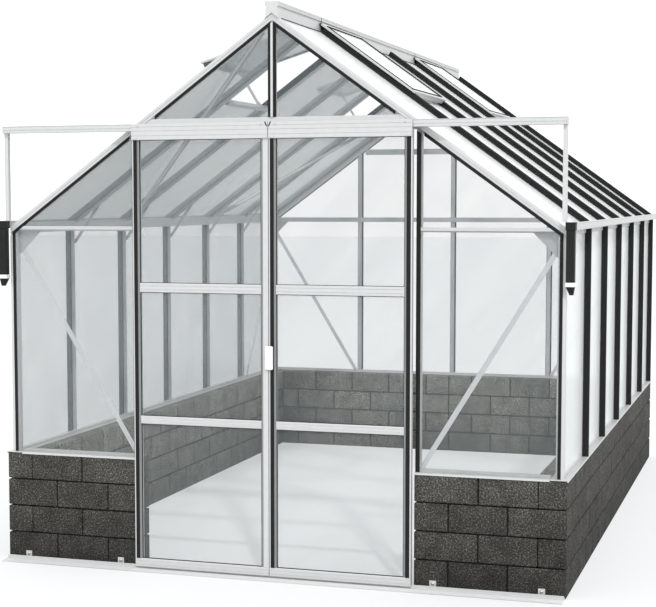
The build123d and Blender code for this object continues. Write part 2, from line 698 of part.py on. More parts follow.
# Knee braces between the side posts and the rafters, on the side of the bar away from the middle
with BuildPart() as knee_braces:
    for along in BARS:
        face = HALF_BAR + STRIP_T if along < LENGTH / 2 + HALF_BAR else -HALF_BAR
        knee_foot = (HALF_W - FRAME_D / 2, Z_EAVES - KNEE_DROP)
        knee_x = HALF_W - KNEE_RUN
        knee_head = (knee_x, roof_z(knee_x, GLASS_T + KNEE_W / 2))
        strip(front(Y_FRONT + along + face), knee_foot, knee_head, KNEE_W, STRIP_T)
save(both_sides(knee_braces.part), "knee_braces")


# Gutters, with an outlet box and a short downpipe in front of each
gutter_out = HALF_W + GUTTER_W
gutter_top = gutter_low + GUTTER_H

with BuildPart() as gutter:
    outline = [
        (HALF_W, gutter_low),
        (gutter_out, gutter_low),
        (gutter_out, gutter_top),
        (gutter_out - GUTTER_T, gutter_top),
        (gutter_out - GUTTER_T, gutter_low + GUTTER_T),
        (HALF_W + GUTTER_T, gutter_low + GUTTER_T),
        (HALF_W + GUTTER_T, Z_EAVES),
        (HALF_W, Z_EAVES),
    ]
    plate(front(Y_FRONT), outline, LENGTH)
    block(
        (HALF_W + GUTTER_T, Y_BACK - GUTTER_T, gutter_low + GUTTER_T),
        (gutter_out - GUTTER_T, Y_BACK, gutter_top),
    )
save(both_sides(gutter.part), "gutters")

box_front = Y_FRONT - BOX_D
pipe_x = (HALF_W + gutter_out) / 2
pipe_y = Y_FRONT - BOX_D / 2
pipe_low = gutter_low - PIPE_L
bore = PIPE_W - 2 * GUTTER_T
spout_bore = SPOUT_W - 2 * GUTTER_T

with BuildPart() as downpipe:
    block((HALF_W, box_front, gutter_low), (gutter_out, Y_FRONT, gutter_top))
    with Locations((pipe_x, pipe_y, pipe_low)):
        Box(PIPE_W, PIPE_D, PIPE_L, align=(Align.CENTER, Align.CENTER, Align.MIN))
    with BuildSketch(Plane.XY.offset(pipe_low)):
        with Locations((pipe_x, pipe_y)):
            Rectangle(PIPE_W, PIPE_D)
    with BuildSketch(Plane.XY.offset(pipe_low - SPOUT_L)):
        with Locations((pipe_x, pipe_y)):
            Rectangle(SPOUT_W, SPOUT_W)
    loft()
    box_low = (HALF_W + GUTTER_T, box_front + GUTTER_T, gutter_low + GUTTER_T)
    block(box_low, (gutter_out - GUTTER_T, Y_FRONT, gutter_top - GUTTER_T), Mode.SUBTRACT)
    with Locations((pipe_x, pipe_y, pipe_low)):
        bore_l = PIPE_L + GUTTER_T
        Box(bore, bore, bore_l, align=(Align.CENTER, Align.CENTER, Align.MIN), mode=Mode.SUBTRACT)
    with BuildSketch(Plane.XY.offset(pipe_low)):
        with Locations((pipe_x, pipe_y)):
            Rectangle(bore, bore)
    with BuildSketch(Plane.XY.offset(pipe_low - SPOUT_L)):
        with Locations((pipe_x, pipe_y)):
            Rectangle(spout_bore, spout_bore)
    loft(mode=Mode.SUBTRACT)
save(both_sides(downpipe.part), "downpipes")

with BuildPart() as band:
    with Locations((pipe_x, pipe_y, pipe_low)):
        band_align = (Align.CENTER, Align.CENTER, Align.MIN)
        Box(PIPE_W + 2 * BAND_OUT, PIPE_D + 2 * BAND_OUT, BAND_H, align=band_align)
        Box(PIPE_W, PIPE_D, BAND_H, align=band_align, mode=Mode.SUBTRACT)
save(both_sides(band.part), "downpipe_bands")


# Door track, slotted along its underside, and the posts that carry its ends
track_half = HALF_W + TRACK_OVER
track_front = TRACK_BACK - TRACK_D
track_top = TRACK_Z + TRACK_H
hanger_y = LEAF_BACK - HANGER_IN

with BuildPart() as door_track:
    block((-track_half, track_front, TRACK_Z), (track_half, TRACK_BACK, track_top))
    cavity = (-track_half, track_front + TRACK_T, TRACK_Z + TRACK_T)
    block(cavity, (track_half, TRACK_BACK - TRACK_T, track_top - TRACK_T), Mode.SUBTRACT)
    slot = (-track_half, hanger_y - TRACK_SLOT / 2, TRACK_Z)
    block(slot, (track_half, hanger_y + TRACK_SLOT / 2, TRACK_Z + TRACK_T), Mode.SUBTRACT)
save(door_track.part, "door_track")

with BuildPart() as track_post:
    post_back = Y_FRONT - TRACK_POST_BACK
    post_low = (track_half - TRACK_POST_W, post_back - TRACK_POST_D, gutter_top)
    block(post_low, (track_half, post_back, TRACK_Z))
save(both_sides(track_post.part), "track_posts")


# Threshold: a thin plate with a rib that guides the leaves, and the clips on the block wall
threshold_front = wall_front - THRESHOLD_D
threshold_half = HALF_W + THRESHOLD_OVER

with BuildPart() as threshold:
    with BuildSketch(Plane(origin=(-threshold_half, 0, 0), x_dir=(0, 1, 0), z_dir=(1, 0, 0))):
        with BuildLine():
            Polyline(
                (threshold_front, 0),
                (wall_front, 0),
                (wall_front, THRESHOLD_BACK_H),
                (wall_front - THRESHOLD_BACK_W, THRESHOLD_BACK_H),
                (wall_front - THRESHOLD_BACK_W, THRESHOLD_T),
                (LEAF_FRONT, THRESHOLD_T),
                (threshold_front, THRESHOLD_EDGE),
                close=True,
            )
        make_face()
    extrude(amount=2 * threshold_half)
    block(
        (-threshold_half, LEAF_MID - GUIDE_W / 2, THRESHOLD_T),
        (threshold_half, LEAF_MID + GUIDE_W / 2, THRESHOLD_T + GUIDE_H),
    )
save(threshold.part, "threshold")

with BuildPart() as clips:
    for x in (DOOR_HALF + CLIP_IN, HALF_W - CLIP_IN):
        clip_low = (x - CLIP_W / 2, wall_front - CLIP_T, THRESHOLD_BACK_H)
        block(clip_low, (x + CLIP_W / 2, wall_front, THRESHOLD_BACK_H + CLIP_H))
save(both_sides(clips.part), "clips")


# Door leaves, built as the right one
leaf_in = LEAF_GAP / 2
leaf_out = leaf_in + LEAF_W
pane_in = leaf_in + STILE_W
pane_out = leaf_out - STILE_W
fascia_front = FASCIA_BACK - FASCIA_T
DOOR_PANES = (
    (LEAF_RISE + BOTTOM_RAIL_H, LOW_RAIL_Z),
    (LOW_RAIL_Z + LOW_RAIL_H, MID_RAIL_Z),
    (MID_RAIL_Z + MID_RAIL_H, FASCIA_Z),
)

with BuildPart() as leaf_frame:
    block((leaf_in, LEAF_FRONT, LEAF_RISE), (leaf_out, LEAF_BACK, LEAF_TOP))
    block((leaf_in, fascia_front, FASCIA_Z), (leaf_out, LEAF_FRONT, LEAF_TOP))
    block((leaf_in, fascia_front, LEAF_TOP), (leaf_out, FASCIA_BACK, FASCIA_TOP))
    for low, high in DOOR_PANES:
        block((pane_in, LEAF_FRONT, low), (pane_out, LEAF_BACK, high), Mode.SUBTRACT)
    block(
        (leaf_in, LEAF_MID - GUIDE_SLOT_W / 2, LEAF_RISE),
        (leaf_out, LEAF_MID + GUIDE_SLOT_W / 2, LEAF_RISE + GUIDE_SLOT_H),
        Mode.SUBTRACT,
    )
save(leaf_frame.part, "door_right_frame")
save(left_of(leaf_frame.part), "door_left_frame")

with BuildPart() as leaf_glass:
    for low, high in DOOR_PANES:
        block((pane_in, LEAF_MID - GLASS_T / 2, low), (pane_out, LEAF_MID + GLASS_T / 2, high))
save(leaf_glass.part, "door_right_glass")
save(left_of(leaf_glass.part), "door_left_glass")

with BuildPart() as outer_seal:
    seal_end = leaf_out - DOOR_LIP_W
    block(
        (seal_end - DOOR_SEAL_W, LEAF_FRONT - DOOR_SEAL_T, LEAF_RISE + BOTTOM_RAIL_H),
        (seal_end, LEAF_FRONT, FASCIA_Z),
    )

with BuildPart() as meeting_seal:
    seal_end = leaf_in + DOOR_LIP_W
    block(
        (seal_end, LEAF_FRONT - DOOR_SEAL_T, LEAF_RISE + BOTTOM_RAIL_H),
        (seal_end + DOOR_SEAL_W, LEAF_FRONT, FASCIA_Z),
    )
save(joined(outer_seal.part, meeting_seal.part), "door_right_seals")
save(left_of(outer_seal.part), "door_left_seals")

axle_z = TRACK_Z + TRACK_T + ROLLER_LIFT + ROLLER_D / 2
wheel_back = hanger_y + HANGER_T / 2 + ROLLER_GAP + ROLLER_W
wheel_front = hanger_y - HANGER_T / 2 - ROLLER_GAP

with BuildPart() as rollers:
    for x in (leaf_in + ROLLER_IN, leaf_out - ROLLER_IN):
        with Locations((x, hanger_y, LEAF_TOP)):
            hanger_h = axle_z + AXLE_D - LEAF_TOP
            Box(HANGER_W, HANGER_T, hanger_h, align=(Align.CENTER, Align.CENTER, Align.MIN))
        for y in (wheel_back, wheel_front):
            with BuildSketch(front(y)):
                with Locations((x, axle_z)):
                    Circle(ROLLER_D / 2)
            extrude(amount=ROLLER_W)
        with BuildSketch(front(wheel_back)):
            with Locations((x, axle_z)):
                Circle(AXLE_D / 2)
        extrude(amount=wheel_back - wheel_front + ROLLER_W)
save(rollers.part, "door_right_rollers")
save(left_of(rollers.part), "door_left_rollers")

# Handle, on the left leaf's meeting stile and lapping over the right leaf
handle_back = LEAF_FRONT - HANDLE_OFF
handle_left = HANDLE_LAP - HANDLE_W

with BuildPart() as handle:
    handle_end = (HANDLE_LAP, handle_back, HANDLE_Z + HANDLE_H)
    block((handle_left, handle_back - HANDLE_T, HANDLE_Z), handle_end)
    block(
        (handle_left, handle_back, HANDLE_Z),
        (handle_left + HANDLE_FOOT_W, LEAF_FRONT, HANDLE_Z + HANDLE_H),
    )
save(handle.part, "door_left_handle")
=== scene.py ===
"""Looks of a glass greenhouse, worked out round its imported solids."""

from itertools import product

import bpy
import numpy as np
from mathutils import Matrix, Vector


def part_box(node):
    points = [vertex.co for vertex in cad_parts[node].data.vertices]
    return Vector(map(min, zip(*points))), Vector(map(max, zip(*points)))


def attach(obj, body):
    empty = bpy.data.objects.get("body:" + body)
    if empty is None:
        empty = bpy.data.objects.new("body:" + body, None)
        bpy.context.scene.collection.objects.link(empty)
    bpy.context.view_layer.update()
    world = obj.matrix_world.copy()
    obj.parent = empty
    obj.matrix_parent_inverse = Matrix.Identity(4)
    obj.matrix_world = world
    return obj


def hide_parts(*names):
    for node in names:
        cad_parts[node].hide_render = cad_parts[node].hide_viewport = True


bl_info = {
    "name": "Glass greenhouse",
    "version": (1, 0, 0),
    "blender": (4, 5, 0),
    "location": "3D View > Sidebar > Greenhouse",
    "description": "Block walls, glazing bars, roof vents and sliding doors of a glass greenhouse",
    "category": "Add Mesh",
}

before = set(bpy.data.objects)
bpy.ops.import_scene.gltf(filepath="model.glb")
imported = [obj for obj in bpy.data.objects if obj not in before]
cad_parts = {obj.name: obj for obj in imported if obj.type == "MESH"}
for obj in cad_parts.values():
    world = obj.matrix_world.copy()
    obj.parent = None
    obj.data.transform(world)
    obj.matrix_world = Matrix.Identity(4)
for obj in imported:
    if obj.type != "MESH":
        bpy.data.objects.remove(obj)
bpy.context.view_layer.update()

X, Y, Z = np.eye(3)


def low_high(node):
    """Lowest and highest corner of a solid, as arrays."""
    low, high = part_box(node)
    return np.array(low), np.array(high)


# Places read from the solids
WALL_LOW, WALL_HIGH = low_high("plinth_right")
GLASS_LOW, GLASS_HIGH = low_high("side_glass")
POST_LOW, POST_HIGH = low_high("side_posts")
RIDGE_LOW, RIDGE_HIGH = low_high("ridge_cap")
VERGE_LOW, VERGE_HIGH = low_high("verge_bars")
TRACK_LOW, TRACK_HIGH = low_high("door_track")
LEAF_LOW, LEAF_HIGH = low_high("door_right_frame")
CAP_HIGH = low_high("wall_caps")[1]
HANDLE_LOW, HANDLE_HIGH = low_high("door_left_handle")
PANE_LOW, PANE_HIGH = low_high("door_right_glass")
GUTTER_LOW, GUTTER_HIGH = low_high("gutters")
STEP_HIGH = low_high("threshold")[1]
CLIP_LOW, CLIP_HIGH = low_high("clips")
GUSSET_TOP = low_high("gussets")[1][2]
DOOR_EDGE = low_high("plinth_front_right")[0][0]

HALF = VERGE_HIGH[0]
SIDE = GLASS_HIGH[0]
FRONT = VERGE_LOW[1]
BACK = VERGE_HIGH[1]
LENGTH = BACK - FRONT
BAYS = 6
BAY = LENGTH / BAYS
BARS = FRONT + BAY * np.arange(1, BAYS)
GLASS = 0.004
FRAME_D = 0.034
BAR_HALF = 0.011            # half the width of a side post or rafter
RIDGE_WEB = 0.028
RIDGE_FOOT = 0.032          # half the width of the ridge cap's foot
CAPS = np.append(BARS, CAP_HIGH[1] - 0.012)
WALL_TOP = WALL_HIGH[2]
SILL_FLAT = GLASS_LOW[2]
SILL_TOP = POST_LOW[2]
BAR_TOP = POST_HIGH[2]
APEX = VERGE_HIGH[2]
PITCH = np.radians(36.0)
RISE = np.tan(PITCH)
EAVES = APEX - HALF * RISE
UP_SLOPE = np.array([-np.cos(PITCH), 0, np.sin(PITCH)])
OUT_SLOPE = np.array([np.sin(PITCH), 0, np.cos(PITCH)])
CAP_HEIGHT = CAP_HIGH[0] - SIDE
ROOF_CAP_TOP = (HALF - RIDGE_FOOT) / np.cos(PITCH) - 0.002
VENT_BAYS = (1, 4)
VENT_OPEN = np.radians(19.0)
VENT_OVER = 0.016           # how far a vent reaches over its bay at each side
VENT_BASE = CAP_HEIGHT + 0.0004
VENT_TOP = ROOF_CAP_TOP + CAP_HEIGHT * RISE
VENT_LOW = VENT_TOP - 0.560
LEAF_DEPTH = 0.028
LOW_RAIL_Z, LOW_RAIL_H = 0.667, 0.036
MID_RAIL_Z, MID_RAIL_H = 1.260, 0.042
FASCIA_HIGH = TRACK_HIGH[2]
JAMB_LIP = DOOR_EDGE + 0.007
VERGE_LIP = 0.025
STRIP = 0.014               # black strip over the edge of a gable's pane
JAMB_STRIP = 0.019
CORNER_LIP = 0.013
RIB = 0.010
LINTEL = 0.062
TRANSOM_BACK = 0.005        # the part of a transom behind the pane


class GreenhouseSizes(bpy.types.PropertyGroup):
    """Sizes of the blocks that are added to the solids, and the painted light that lifts their inside faces
    and tops.
    """

    block_length: bpy.props.FloatProperty(
        name="Block length", description="From one upright joint to the next", default=0.256, unit="LENGTH")
    joint: bpy.props.FloatProperty(
        name="Joint", description="Width of the joints between the blocks", default=0.0062, unit="LENGTH")
    joint_depth: bpy.props.FloatProperty(
        name="Joint depth", description="From the faces back to the joints", default=0.012, unit="LENGTH")
    block_edge: bpy.props.FloatProperty(
        name="Block edge", description="Width of the worn edge round a block", default=0.0032, unit="LENGTH")
    # Painted light: the inside faces and the tops of the wall are made lighter than the outer faces
    inside_painted_light: bpy.props.FloatProperty(
        name="Inside painted light", description="Inside faces lighter, as painted light", default=2.75, min=1.0, max=5.0)
    top_painted_light: bpy.props.FloatProperty(
        name="Top painted light", description="Tops of the wall lighter, as painted light", default=2.8, min=1.0, max=3.0)


class GreenhouseColours(bpy.types.PropertyGroup):
    """Colours of the finishes."""

    block: bpy.props.FloatVectorProperty(
        name="Blocks", description="Concrete blocks", subtype="COLOR", default=(0.036, 0.035, 0.031))
    joint: bpy.props.FloatVectorProperty(
        name="Joints", description="Shadowed joints", subtype="COLOR", default=(0.008, 0.008, 0.008))
    aluminium: bpy.props.FloatVectorProperty(
        name="Aluminium", description="Outer sections", subtype="COLOR", default=(0.535, 0.543, 0.543))
    # Painted shade: the bars inside get a darker copy of the aluminium
    inner: bpy.props.FloatVectorProperty(
        name="Inner aluminium", description="Bars inside", subtype="COLOR", default=(0.46, 0.47, 0.48))
    # Painted light: the flat braces get a lighter copy of the aluminium
    strap: bpy.props.FloatVectorProperty(
        name="Straps", description="Flat braces", subtype="COLOR", default=(0.62, 0.63, 0.64))
    # Painted shade: the dark beads stand for the inner band of a stile lying in shade
    bead: bpy.props.FloatVectorProperty(
        name="Beads", description="Glazing beads of the leaves", subtype="COLOR", default=(0.20, 0.21, 0.21))
    steel: bpy.props.FloatVectorProperty(
        name="Steel", description="Bolts and screws", subtype="COLOR", default=(0.55, 0.56, 0.57))
    black: bpy.props.FloatVectorProperty(
        name="Black plastic", description="Caps and pipes", subtype="COLOR", default=(0.013, 0.013, 0.0135))
    rubber: bpy.props.FloatVectorProperty(
        name="Rubber", description="Flat seals", subtype="COLOR", default=(0.014, 0.014, 0.0145))
    plastic: bpy.props.FloatVectorProperty(
        name="White plastic", description="Handle and bands", subtype="COLOR", default=(0.68, 0.68, 0.66))
    glass: bpy.props.FloatVectorProperty(
        name="Glass", description="Tint of the panes", subtype="COLOR", default=(0.27, 0.305, 0.31))
    # Painted reflection: panes seen at a slant turn this pale colour and grow less clear
    glass_slant_reflection: bpy.props.FloatVectorProperty(
        name="Pale glass", description="Panes seen at a slant", subtype="COLOR", default=(0.78, 0.81, 0.81))


# Mesh makers. A part is a pair: its points, and its faces as numbers of points

def add_object(name, data):
    """One object in the scene."""
    made = bpy.data.objects.new(name, data)
    bpy.context.scene.collection.objects.link(made)
    return made


def add_mesh(name, part, look, slot, nodes=(), body="house"):
    """One object from a part, with its finish, its body and the solids that it stands in for."""
    points, faces = part
    mesh = bpy.data.meshes.new(name)
    mesh.from_pydata(np.asarray(points, float).reshape(-1, 3).tolist(), [], faces)
    mesh.materials.append(finish(look))
    mesh.shade_flat()
    mesh.validate()
    piece = add_object(name, mesh)
    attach(piece, body)
    if nodes:
        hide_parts(*nodes)
    return piece


def rows(x, y, z):
    """Points from their coordinates, each of them one number or one for every point."""
    return np.stack(np.broadcast_arrays(x, y, z), axis=-1).astype(float)


def even(points):
    """A right half outline, from the bottom up, and its mirror image, as one closed outline."""
    right = np.array(points, float)
    left = right[::-1] * (-1, 1)
    return np.vstack([right, left[left[:, 0] < 0]])


def joined(parts):
    """Several parts as one."""
    points, faces, count = [], [], 0
    for part_points, part_faces in parts:
        part_points = np.asarray(part_points, float).reshape(-1, 3)
        points.append(part_points)
        faces += [tuple(int(index) + count for index in face) for face in part_faces]
        count += len(part_points)
    return np.vstack(points), faces


def turned_over(faces):
    """The same faces, pointing the other way."""
    return [tuple(face[::-1]) for face in faces]


def mirrored(part):
    """The same part on the other side of the middle, with its faces still pointing outwards."""
    points, faces = part
    return np.asarray(points).reshape(-1, 3) * (-1, 1, 1), turned_over(faces)


def both(*parts):
    """Parts of the right side, with their twins on the left."""
    part = joined(parts)
    return joined([part, mirrored(part)])


def tube_faces(rings, count):
    """Faces of a body made of rings of points: four-sided ones between neighbours, and one at each end."""
    k = np.arange(count)
    after = (k + 1) % count
    faces = []
    for a in range(0, (rings - 1) * count, count):
        faces += np.stack([a + k, a + after, a + count + after, a + count + k], axis=1).tolist()
    return faces + [k[::-1].tolist(), ((rings - 1) * count + k).tolist()]


def copies(faces, size, count):
    """The faces of one body of so many points, numbered on for each further body."""
    return [tuple(index + size * number for index in face) for number in range(count) for face in faces]


def unit(vectors):
    """Vectors, one in a row, made one long."""
    return vectors / np.linalg.norm(vectors, axis=1, keepdims=True)


def bars(profile, starts, ends, across, up, cut_start=0.0, cut_end=0.0):
    """Bars of one section: point (i, end, k) = end of bar i + across * profile x + up * profile y, moved
    along the bar by its cut."""
    profile = np.asarray(profile, float)
    starts, ends = np.atleast_2d(starts).astype(float), np.atleast_2d(ends).astype(float)
    across, up = np.broadcast_to(across, starts.shape), np.broadcast_to(up, starts.shape)
    along = unit(ends - starts)
    count = len(profile)
    flat = across[:, None] * profile[:, :1] + up[:, None] * profile[:, 1:]
    points = np.stack([place[:, None] + flat + along[:, None] * np.broadcast_to(cut, count)[:, None]
                       for place, cut in ((starts, cut_start), (ends, cut_end))], axis=1)
    area = np.sum(profile[:, 0] * np.roll(profile[:, 1], -1) - np.roll(profile[:, 0], -1) * profile[:, 1])
    faces = tube_faces(2, count)
    if (area > 0) != (np.cross(across[0], up[0]) @ along[0] > 0):
        faces = turned_over(faces)
    return points.reshape(-1, 3), copies(faces, 2 * count, len(starts))


BOX_CORNERS = np.array(list(product((-1, 1), repeat=3)), float)
BOX_POINTS = 3 * len(BOX_CORNERS)


def box_points(half, edge):
    """Points of boxes with cut edges, from their half sizes. Corner s gives three points, one on each face
    that meets there: s * (half size, less the edge along the two other axes)."""
    return BOX_CORNERS[:, None] * (half - edge * (1 - np.eye(3)))


def box_faces():
    """Faces of a box with cut edges: for each of its 26 directions, the points that reach farthest that way,
    in turn about it."""
    points = box_points(1.0, 0.1).reshape(-1, 3)
    faces = []
    for way in product((-1, 0, 1), repeat=3):
        if any(way):
            reach = points @ way
            ring = np.flatnonzero(reach > reach.max() - 0.01)
            spokes = points[ring] - points[ring].mean(axis=0)
            angle = np.arctan2(spokes @ np.cross(unit(np.array([way])), spokes[:1])[0], spokes @ spokes[0])
            faces.append(ring[np.argsort(angle)].tolist())
    return faces


def boxes(lows, highs, edge):
    """Boxes with cut edges between two opposite corners."""
    lows, highs = np.asarray(lows, float).reshape(-1, 3), np.asarray(highs, float).reshape(-1, 3)
    centre, half = (lows + highs)[:, None, None] / 2, (highs - lows)[:, None, None] / 2
    points = centre + box_points(half, edge)
    return points.reshape(-1, 3), copies(box_faces(), BOX_POINTS, len(lows))


def turned(rings, centres, axes, sides):
    """Bodies turned about an axis: point = centre + axis * height + radius * (cos, sin) round the axis,
    with rings a list of (radius, height) from the foot to the tip."""
    rings = np.asarray(rings, float)
    centres = np.atleast_2d(centres).astype(float)
    axes = np.broadcast_to(axes, centres.shape).astype(float)
    first = unit(np.cross(axes, np.where(np.abs(axes[:, 2:]) > 0.9, X, Z)))
    second = np.cross(axes, first)
    angle = 2 * np.pi * np.arange(sides)[:, None] / sides
    spokes = first[:, None] * np.cos(angle) + second[:, None] * np.sin(angle)
    points = (centres[:, None, None] + axes[:, None, None] * rings[:, None, 1:]
              + spokes[:, None] * rings[:, None, :1])
    return points.reshape(-1, 3), copies(tube_faces(len(rings), sides), len(rings) * sides, len(centres))


def rounded(half_x, half_y, radius, steps=5):
    """A rectangle with round corners: centre of a corner + radius * (cos, sin), a quarter turn each."""
    quarter = np.linspace(0, np.pi / 2, steps)
    arcs = []
    for number, sides in enumerate(((1, 1), (-1, 1), (-1, -1), (1, -1))):
        angle = quarter + number * np.pi / 2
        arcs.append(sides * (np.array([half_x, half_y]) - radius)
                    + radius * np.stack([np.cos(angle), np.sin(angle)], axis=1))
    return np.vstack(arcs)


def stacked(loops, origin, across, up, along):
    """Rings one behind another: point = origin + across * x + up * y + along * distance, each loop a pair
    (outline, distance), with a face at each end."""
    outlines, reach = (np.array(values) for values in zip(*loops))
    points = origin + outlines[..., :1] * across + outlines[..., 1:] * up + reach[:, None, None] * along
    faces = tube_faces(*outlines.shape[:2])
    return points.reshape(-1, 3), turned_over(faces) if np.cross(across, up) @ along < 0 else faces


def straps(starts, ends, normals, width, thick, steps=7):
    """Flat bars with round ends: each outline is two half circles, centre + r * (cos * run + sin * side),
    with the tips at the given ends; the back face is moved along the normal by the thickness."""
    starts, ends = np.atleast_2d(starts).astype(float), np.atleast_2d(ends).astype(float)
    normals = np.broadcast_to(normals, starts.shape).astype(float)
    run = unit(ends - starts)
    angle = np.linspace(-np.pi / 2, np.pi / 2, steps)[:, None]
    radius = width / 2
    tip = radius * (np.cos(angle) * run[:, None] + np.sin(angle) * np.cross(normals, run)[:, None])
    far, near = (ends - run * radius)[:, None] + tip, (starts + run * radius)[:, None] - tip
    outline = np.concatenate([far, near], axis=1)
    points = np.stack([outline, outline + normals[:, None] * thick], axis=1)
    return points.reshape(-1, 3), copies(tube_faces(2, 2 * steps), 4 * steps, len(starts))


def on_roof(y, up, height):
    """The point of the right slope at a distance up from the eaves and above the glass:
    x = half width - up * cos(pitch) + height * sin(pitch),
    z = eaves + up * sin(pitch) + height * cos(pitch)."""
    return rows(HALF + up * UP_SLOPE[0] + height * OUT_SLOPE[0], y,
                EAVES + up * UP_SLOPE[2] + height * OUT_SLOPE[2])


def under(x, depth):
    """Height at a distance from the middle of a gable, at a depth square to the slope:
    z = eaves + (half width - x) * rise - depth / cos(pitch)."""
    return EAVES + (HALF - x) * RISE - depth / OUT_SLOPE[2]


# Shader groups and materials

def new_group(name, inputs, outputs):
    """A shader group with its two end nodes. Its sockets are given with their usual values, and those whose
    value is a tuple are colours."""
    group = bpy.data.node_groups.new(name, "ShaderNodeTree")
    for way, sockets in (("INPUT", inputs), ("OUTPUT", outputs)):
        for label, value in sockets.items():
            kind = "NodeSocketColor" if isinstance(value, tuple) else "NodeSocketFloat"
            group.interface.new_socket(label, in_out=way, socket_type=kind).default_value = value
    return group, group.nodes.new("NodeGroupInput"), group.nodes.new("NodeGroupOutput")


def plug(tree, value, socket):
    """Links an output to an input, or sets the input to a number or a colour."""
    if isinstance(value, bpy.types.NodeSocket):
        tree.links.new(value, socket)
    else:
        socket.default_value = value


def feed(tree, made, **inputs):
    """Links or sets inputs of a node by their names, with _ for a space."""
    for key, value in inputs.items():
        plug(tree, value, made.inputs[key.replace("_", " ")])


def node(tree, kind, **values):
    """A node with its settings, and its inputs as in feed."""
    made = tree.nodes.new(kind)
    for key, value in values.items():
        if hasattr(made, key):
            setattr(made, key, value)
        else:
            feed(tree, made, **{key: value})
    return made


def noise(tree, place, **inputs):
    """Noise at a place, with its inputs as in feed."""
    return node(tree, "ShaderNodeTexNoise", Vector=place, **inputs).outputs["Fac"]


def spot(tree):
    """The object's own coordinates."""
    return node(tree, "ShaderNodeTexCoord").outputs["Object"]


def maths(tree, operation, *values, clamp=False):
    """The result of a sum, product or power."""
    made = node(tree, "ShaderNodeMath", operation=operation, use_clamp=clamp)
    for value, socket in zip(values, made.inputs):
        plug(tree, value, socket)
    return made.outputs[0]


def spread(tree, value, low, high, least=0.0, most=1.0, kind="LINEAR"):
    """A value between two bounds, drawn out between two others."""
    return node(tree, "ShaderNodeMapRange", interpolation_type=kind, Value=value, From_Min=low, From_Max=high,
                To_Min=least, To_Max=most).outputs[0]


def blend(tree, first, second, share=1.0, kind="MULTIPLY"):
    """Two colours mixed."""
    made = node(tree, "ShaderNodeMix", data_type="RGBA", blend_type=kind, Factor=share)
    plug(tree, first, made.inputs[6])
    plug(tree, second, made.inputs[7])
    return made.outputs[2]


def bump(tree, height, strength, distance):
    """The normal of a surface with fine relief."""
    return node(tree, "ShaderNodeBump", Strength=strength, Distance=distance, Height=height).outputs["Normal"]


def grain_group():
    """Fine streaks and blotches on a drawn section: colour factor, roughness and height."""
    if "Section grain" in bpy.data.node_groups:
        return bpy.data.node_groups["Section grain"]
    group, inside, outside = new_group("Section grain", {"Scale": 40.0, "Tone": 0.06, "Roughness": 0.4},
                                       {"Value": 1.0, "Roughness": 0.4, "Height": 0.0})
    given, place = inside.outputs, spot(group)
    broad = noise(group, place, Detail=3.0, Scale=given["Scale"])
    fine = noise(group, place, Detail=2.0, Scale=420.0)
    darkest = maths(group, "SUBTRACT", 1.0, given["Tone"])
    feed(group, outside, Value=spread(group, broad, 0.3, 0.7, darkest), Height=fine,
         Roughness=maths(group, "MULTIPLY_ADD", fine, 0.12, given["Roughness"]))
    return group


def base_material(name):
    """A material with only its Principled shader and output."""
    material = bpy.data.materials.new(name)
    material.use_nodes = True
    tree = material.node_tree
    return material, tree, tree.nodes["Principled BSDF"]


def section_material(name, colour, metallic, roughness, tone, relief, scale=40.0, gloss=0.5):
    """A drawn or moulded section: one colour, with blotches, fine grain and uneven gloss."""
    material, tree, shader = base_material(name)
    grain = node(tree, "ShaderNodeGroup", node_tree=grain_group(), Scale=scale, Tone=tone,
                 Roughness=roughness - 0.06).outputs
    feed(tree, shader, Base_Color=blend(tree, (*colour, 1.0), grain["Value"]), Roughness=grain["Roughness"],
         Metallic=metallic, Specular_IOR_Level=gloss, Normal=bump(tree, grain["Height"], relief, 0.0004))
    return material


def block_material(name, colour):
    """Concrete blocks: pale and dark specks, blotches, one tone a block with painted light on the inside
    faces and tops, and darker towards the ground.
    """
    material, tree, shader = base_material(name)
    place = spot(tree)
    specks = noise(tree, place, Scale=140.0, Detail=4.0, Roughness=0.75)
    pits = node(tree, "ShaderNodeTexVoronoi", Vector=place, Scale=230.0).outputs["Distance"]
    ramp = node(tree, "ShaderNodeValToRGB", Fac=specks)
    steps = ramp.color_ramp.elements
    steps[0].position, steps[0].color = 0.36, (*[part * 0.35 for part in colour], 1)
    steps[1].position, steps[1].color = 0.74, (*[min(1.0, part * 6.0) for part in colour], 1)
    steps.new(0.52).color = (*colour, 1)
    blotches = spread(tree, noise(tree, place, Scale=14.0, Detail=3.0), 0.3, 0.7, 0.72, 1.25)
    height = node(tree, "ShaderNodeSeparateXYZ", Vector=place).outputs["Z"]
    # Darker towards the ground
    low_darkening = spread(tree, height, 0.0, 0.5, 0.62, 1.25)
    # The tone of each block, which also carries the painted light on the inside faces and tops
    tone = node(tree, "ShaderNodeAttribute", attribute_name="tone").outputs["Fac"]
    shade = maths(tree, "MULTIPLY", maths(tree, "MULTIPLY", blotches, low_darkening), tone)
    feed(tree, shader, Base_Color=blend(tree, ramp.outputs["Color"], shade), Roughness=0.9,
         Specular_IOR_Level=0.2, Normal=bump(tree, maths(tree, "ADD", specks, pits), 0.6, 0.0018))
    return material


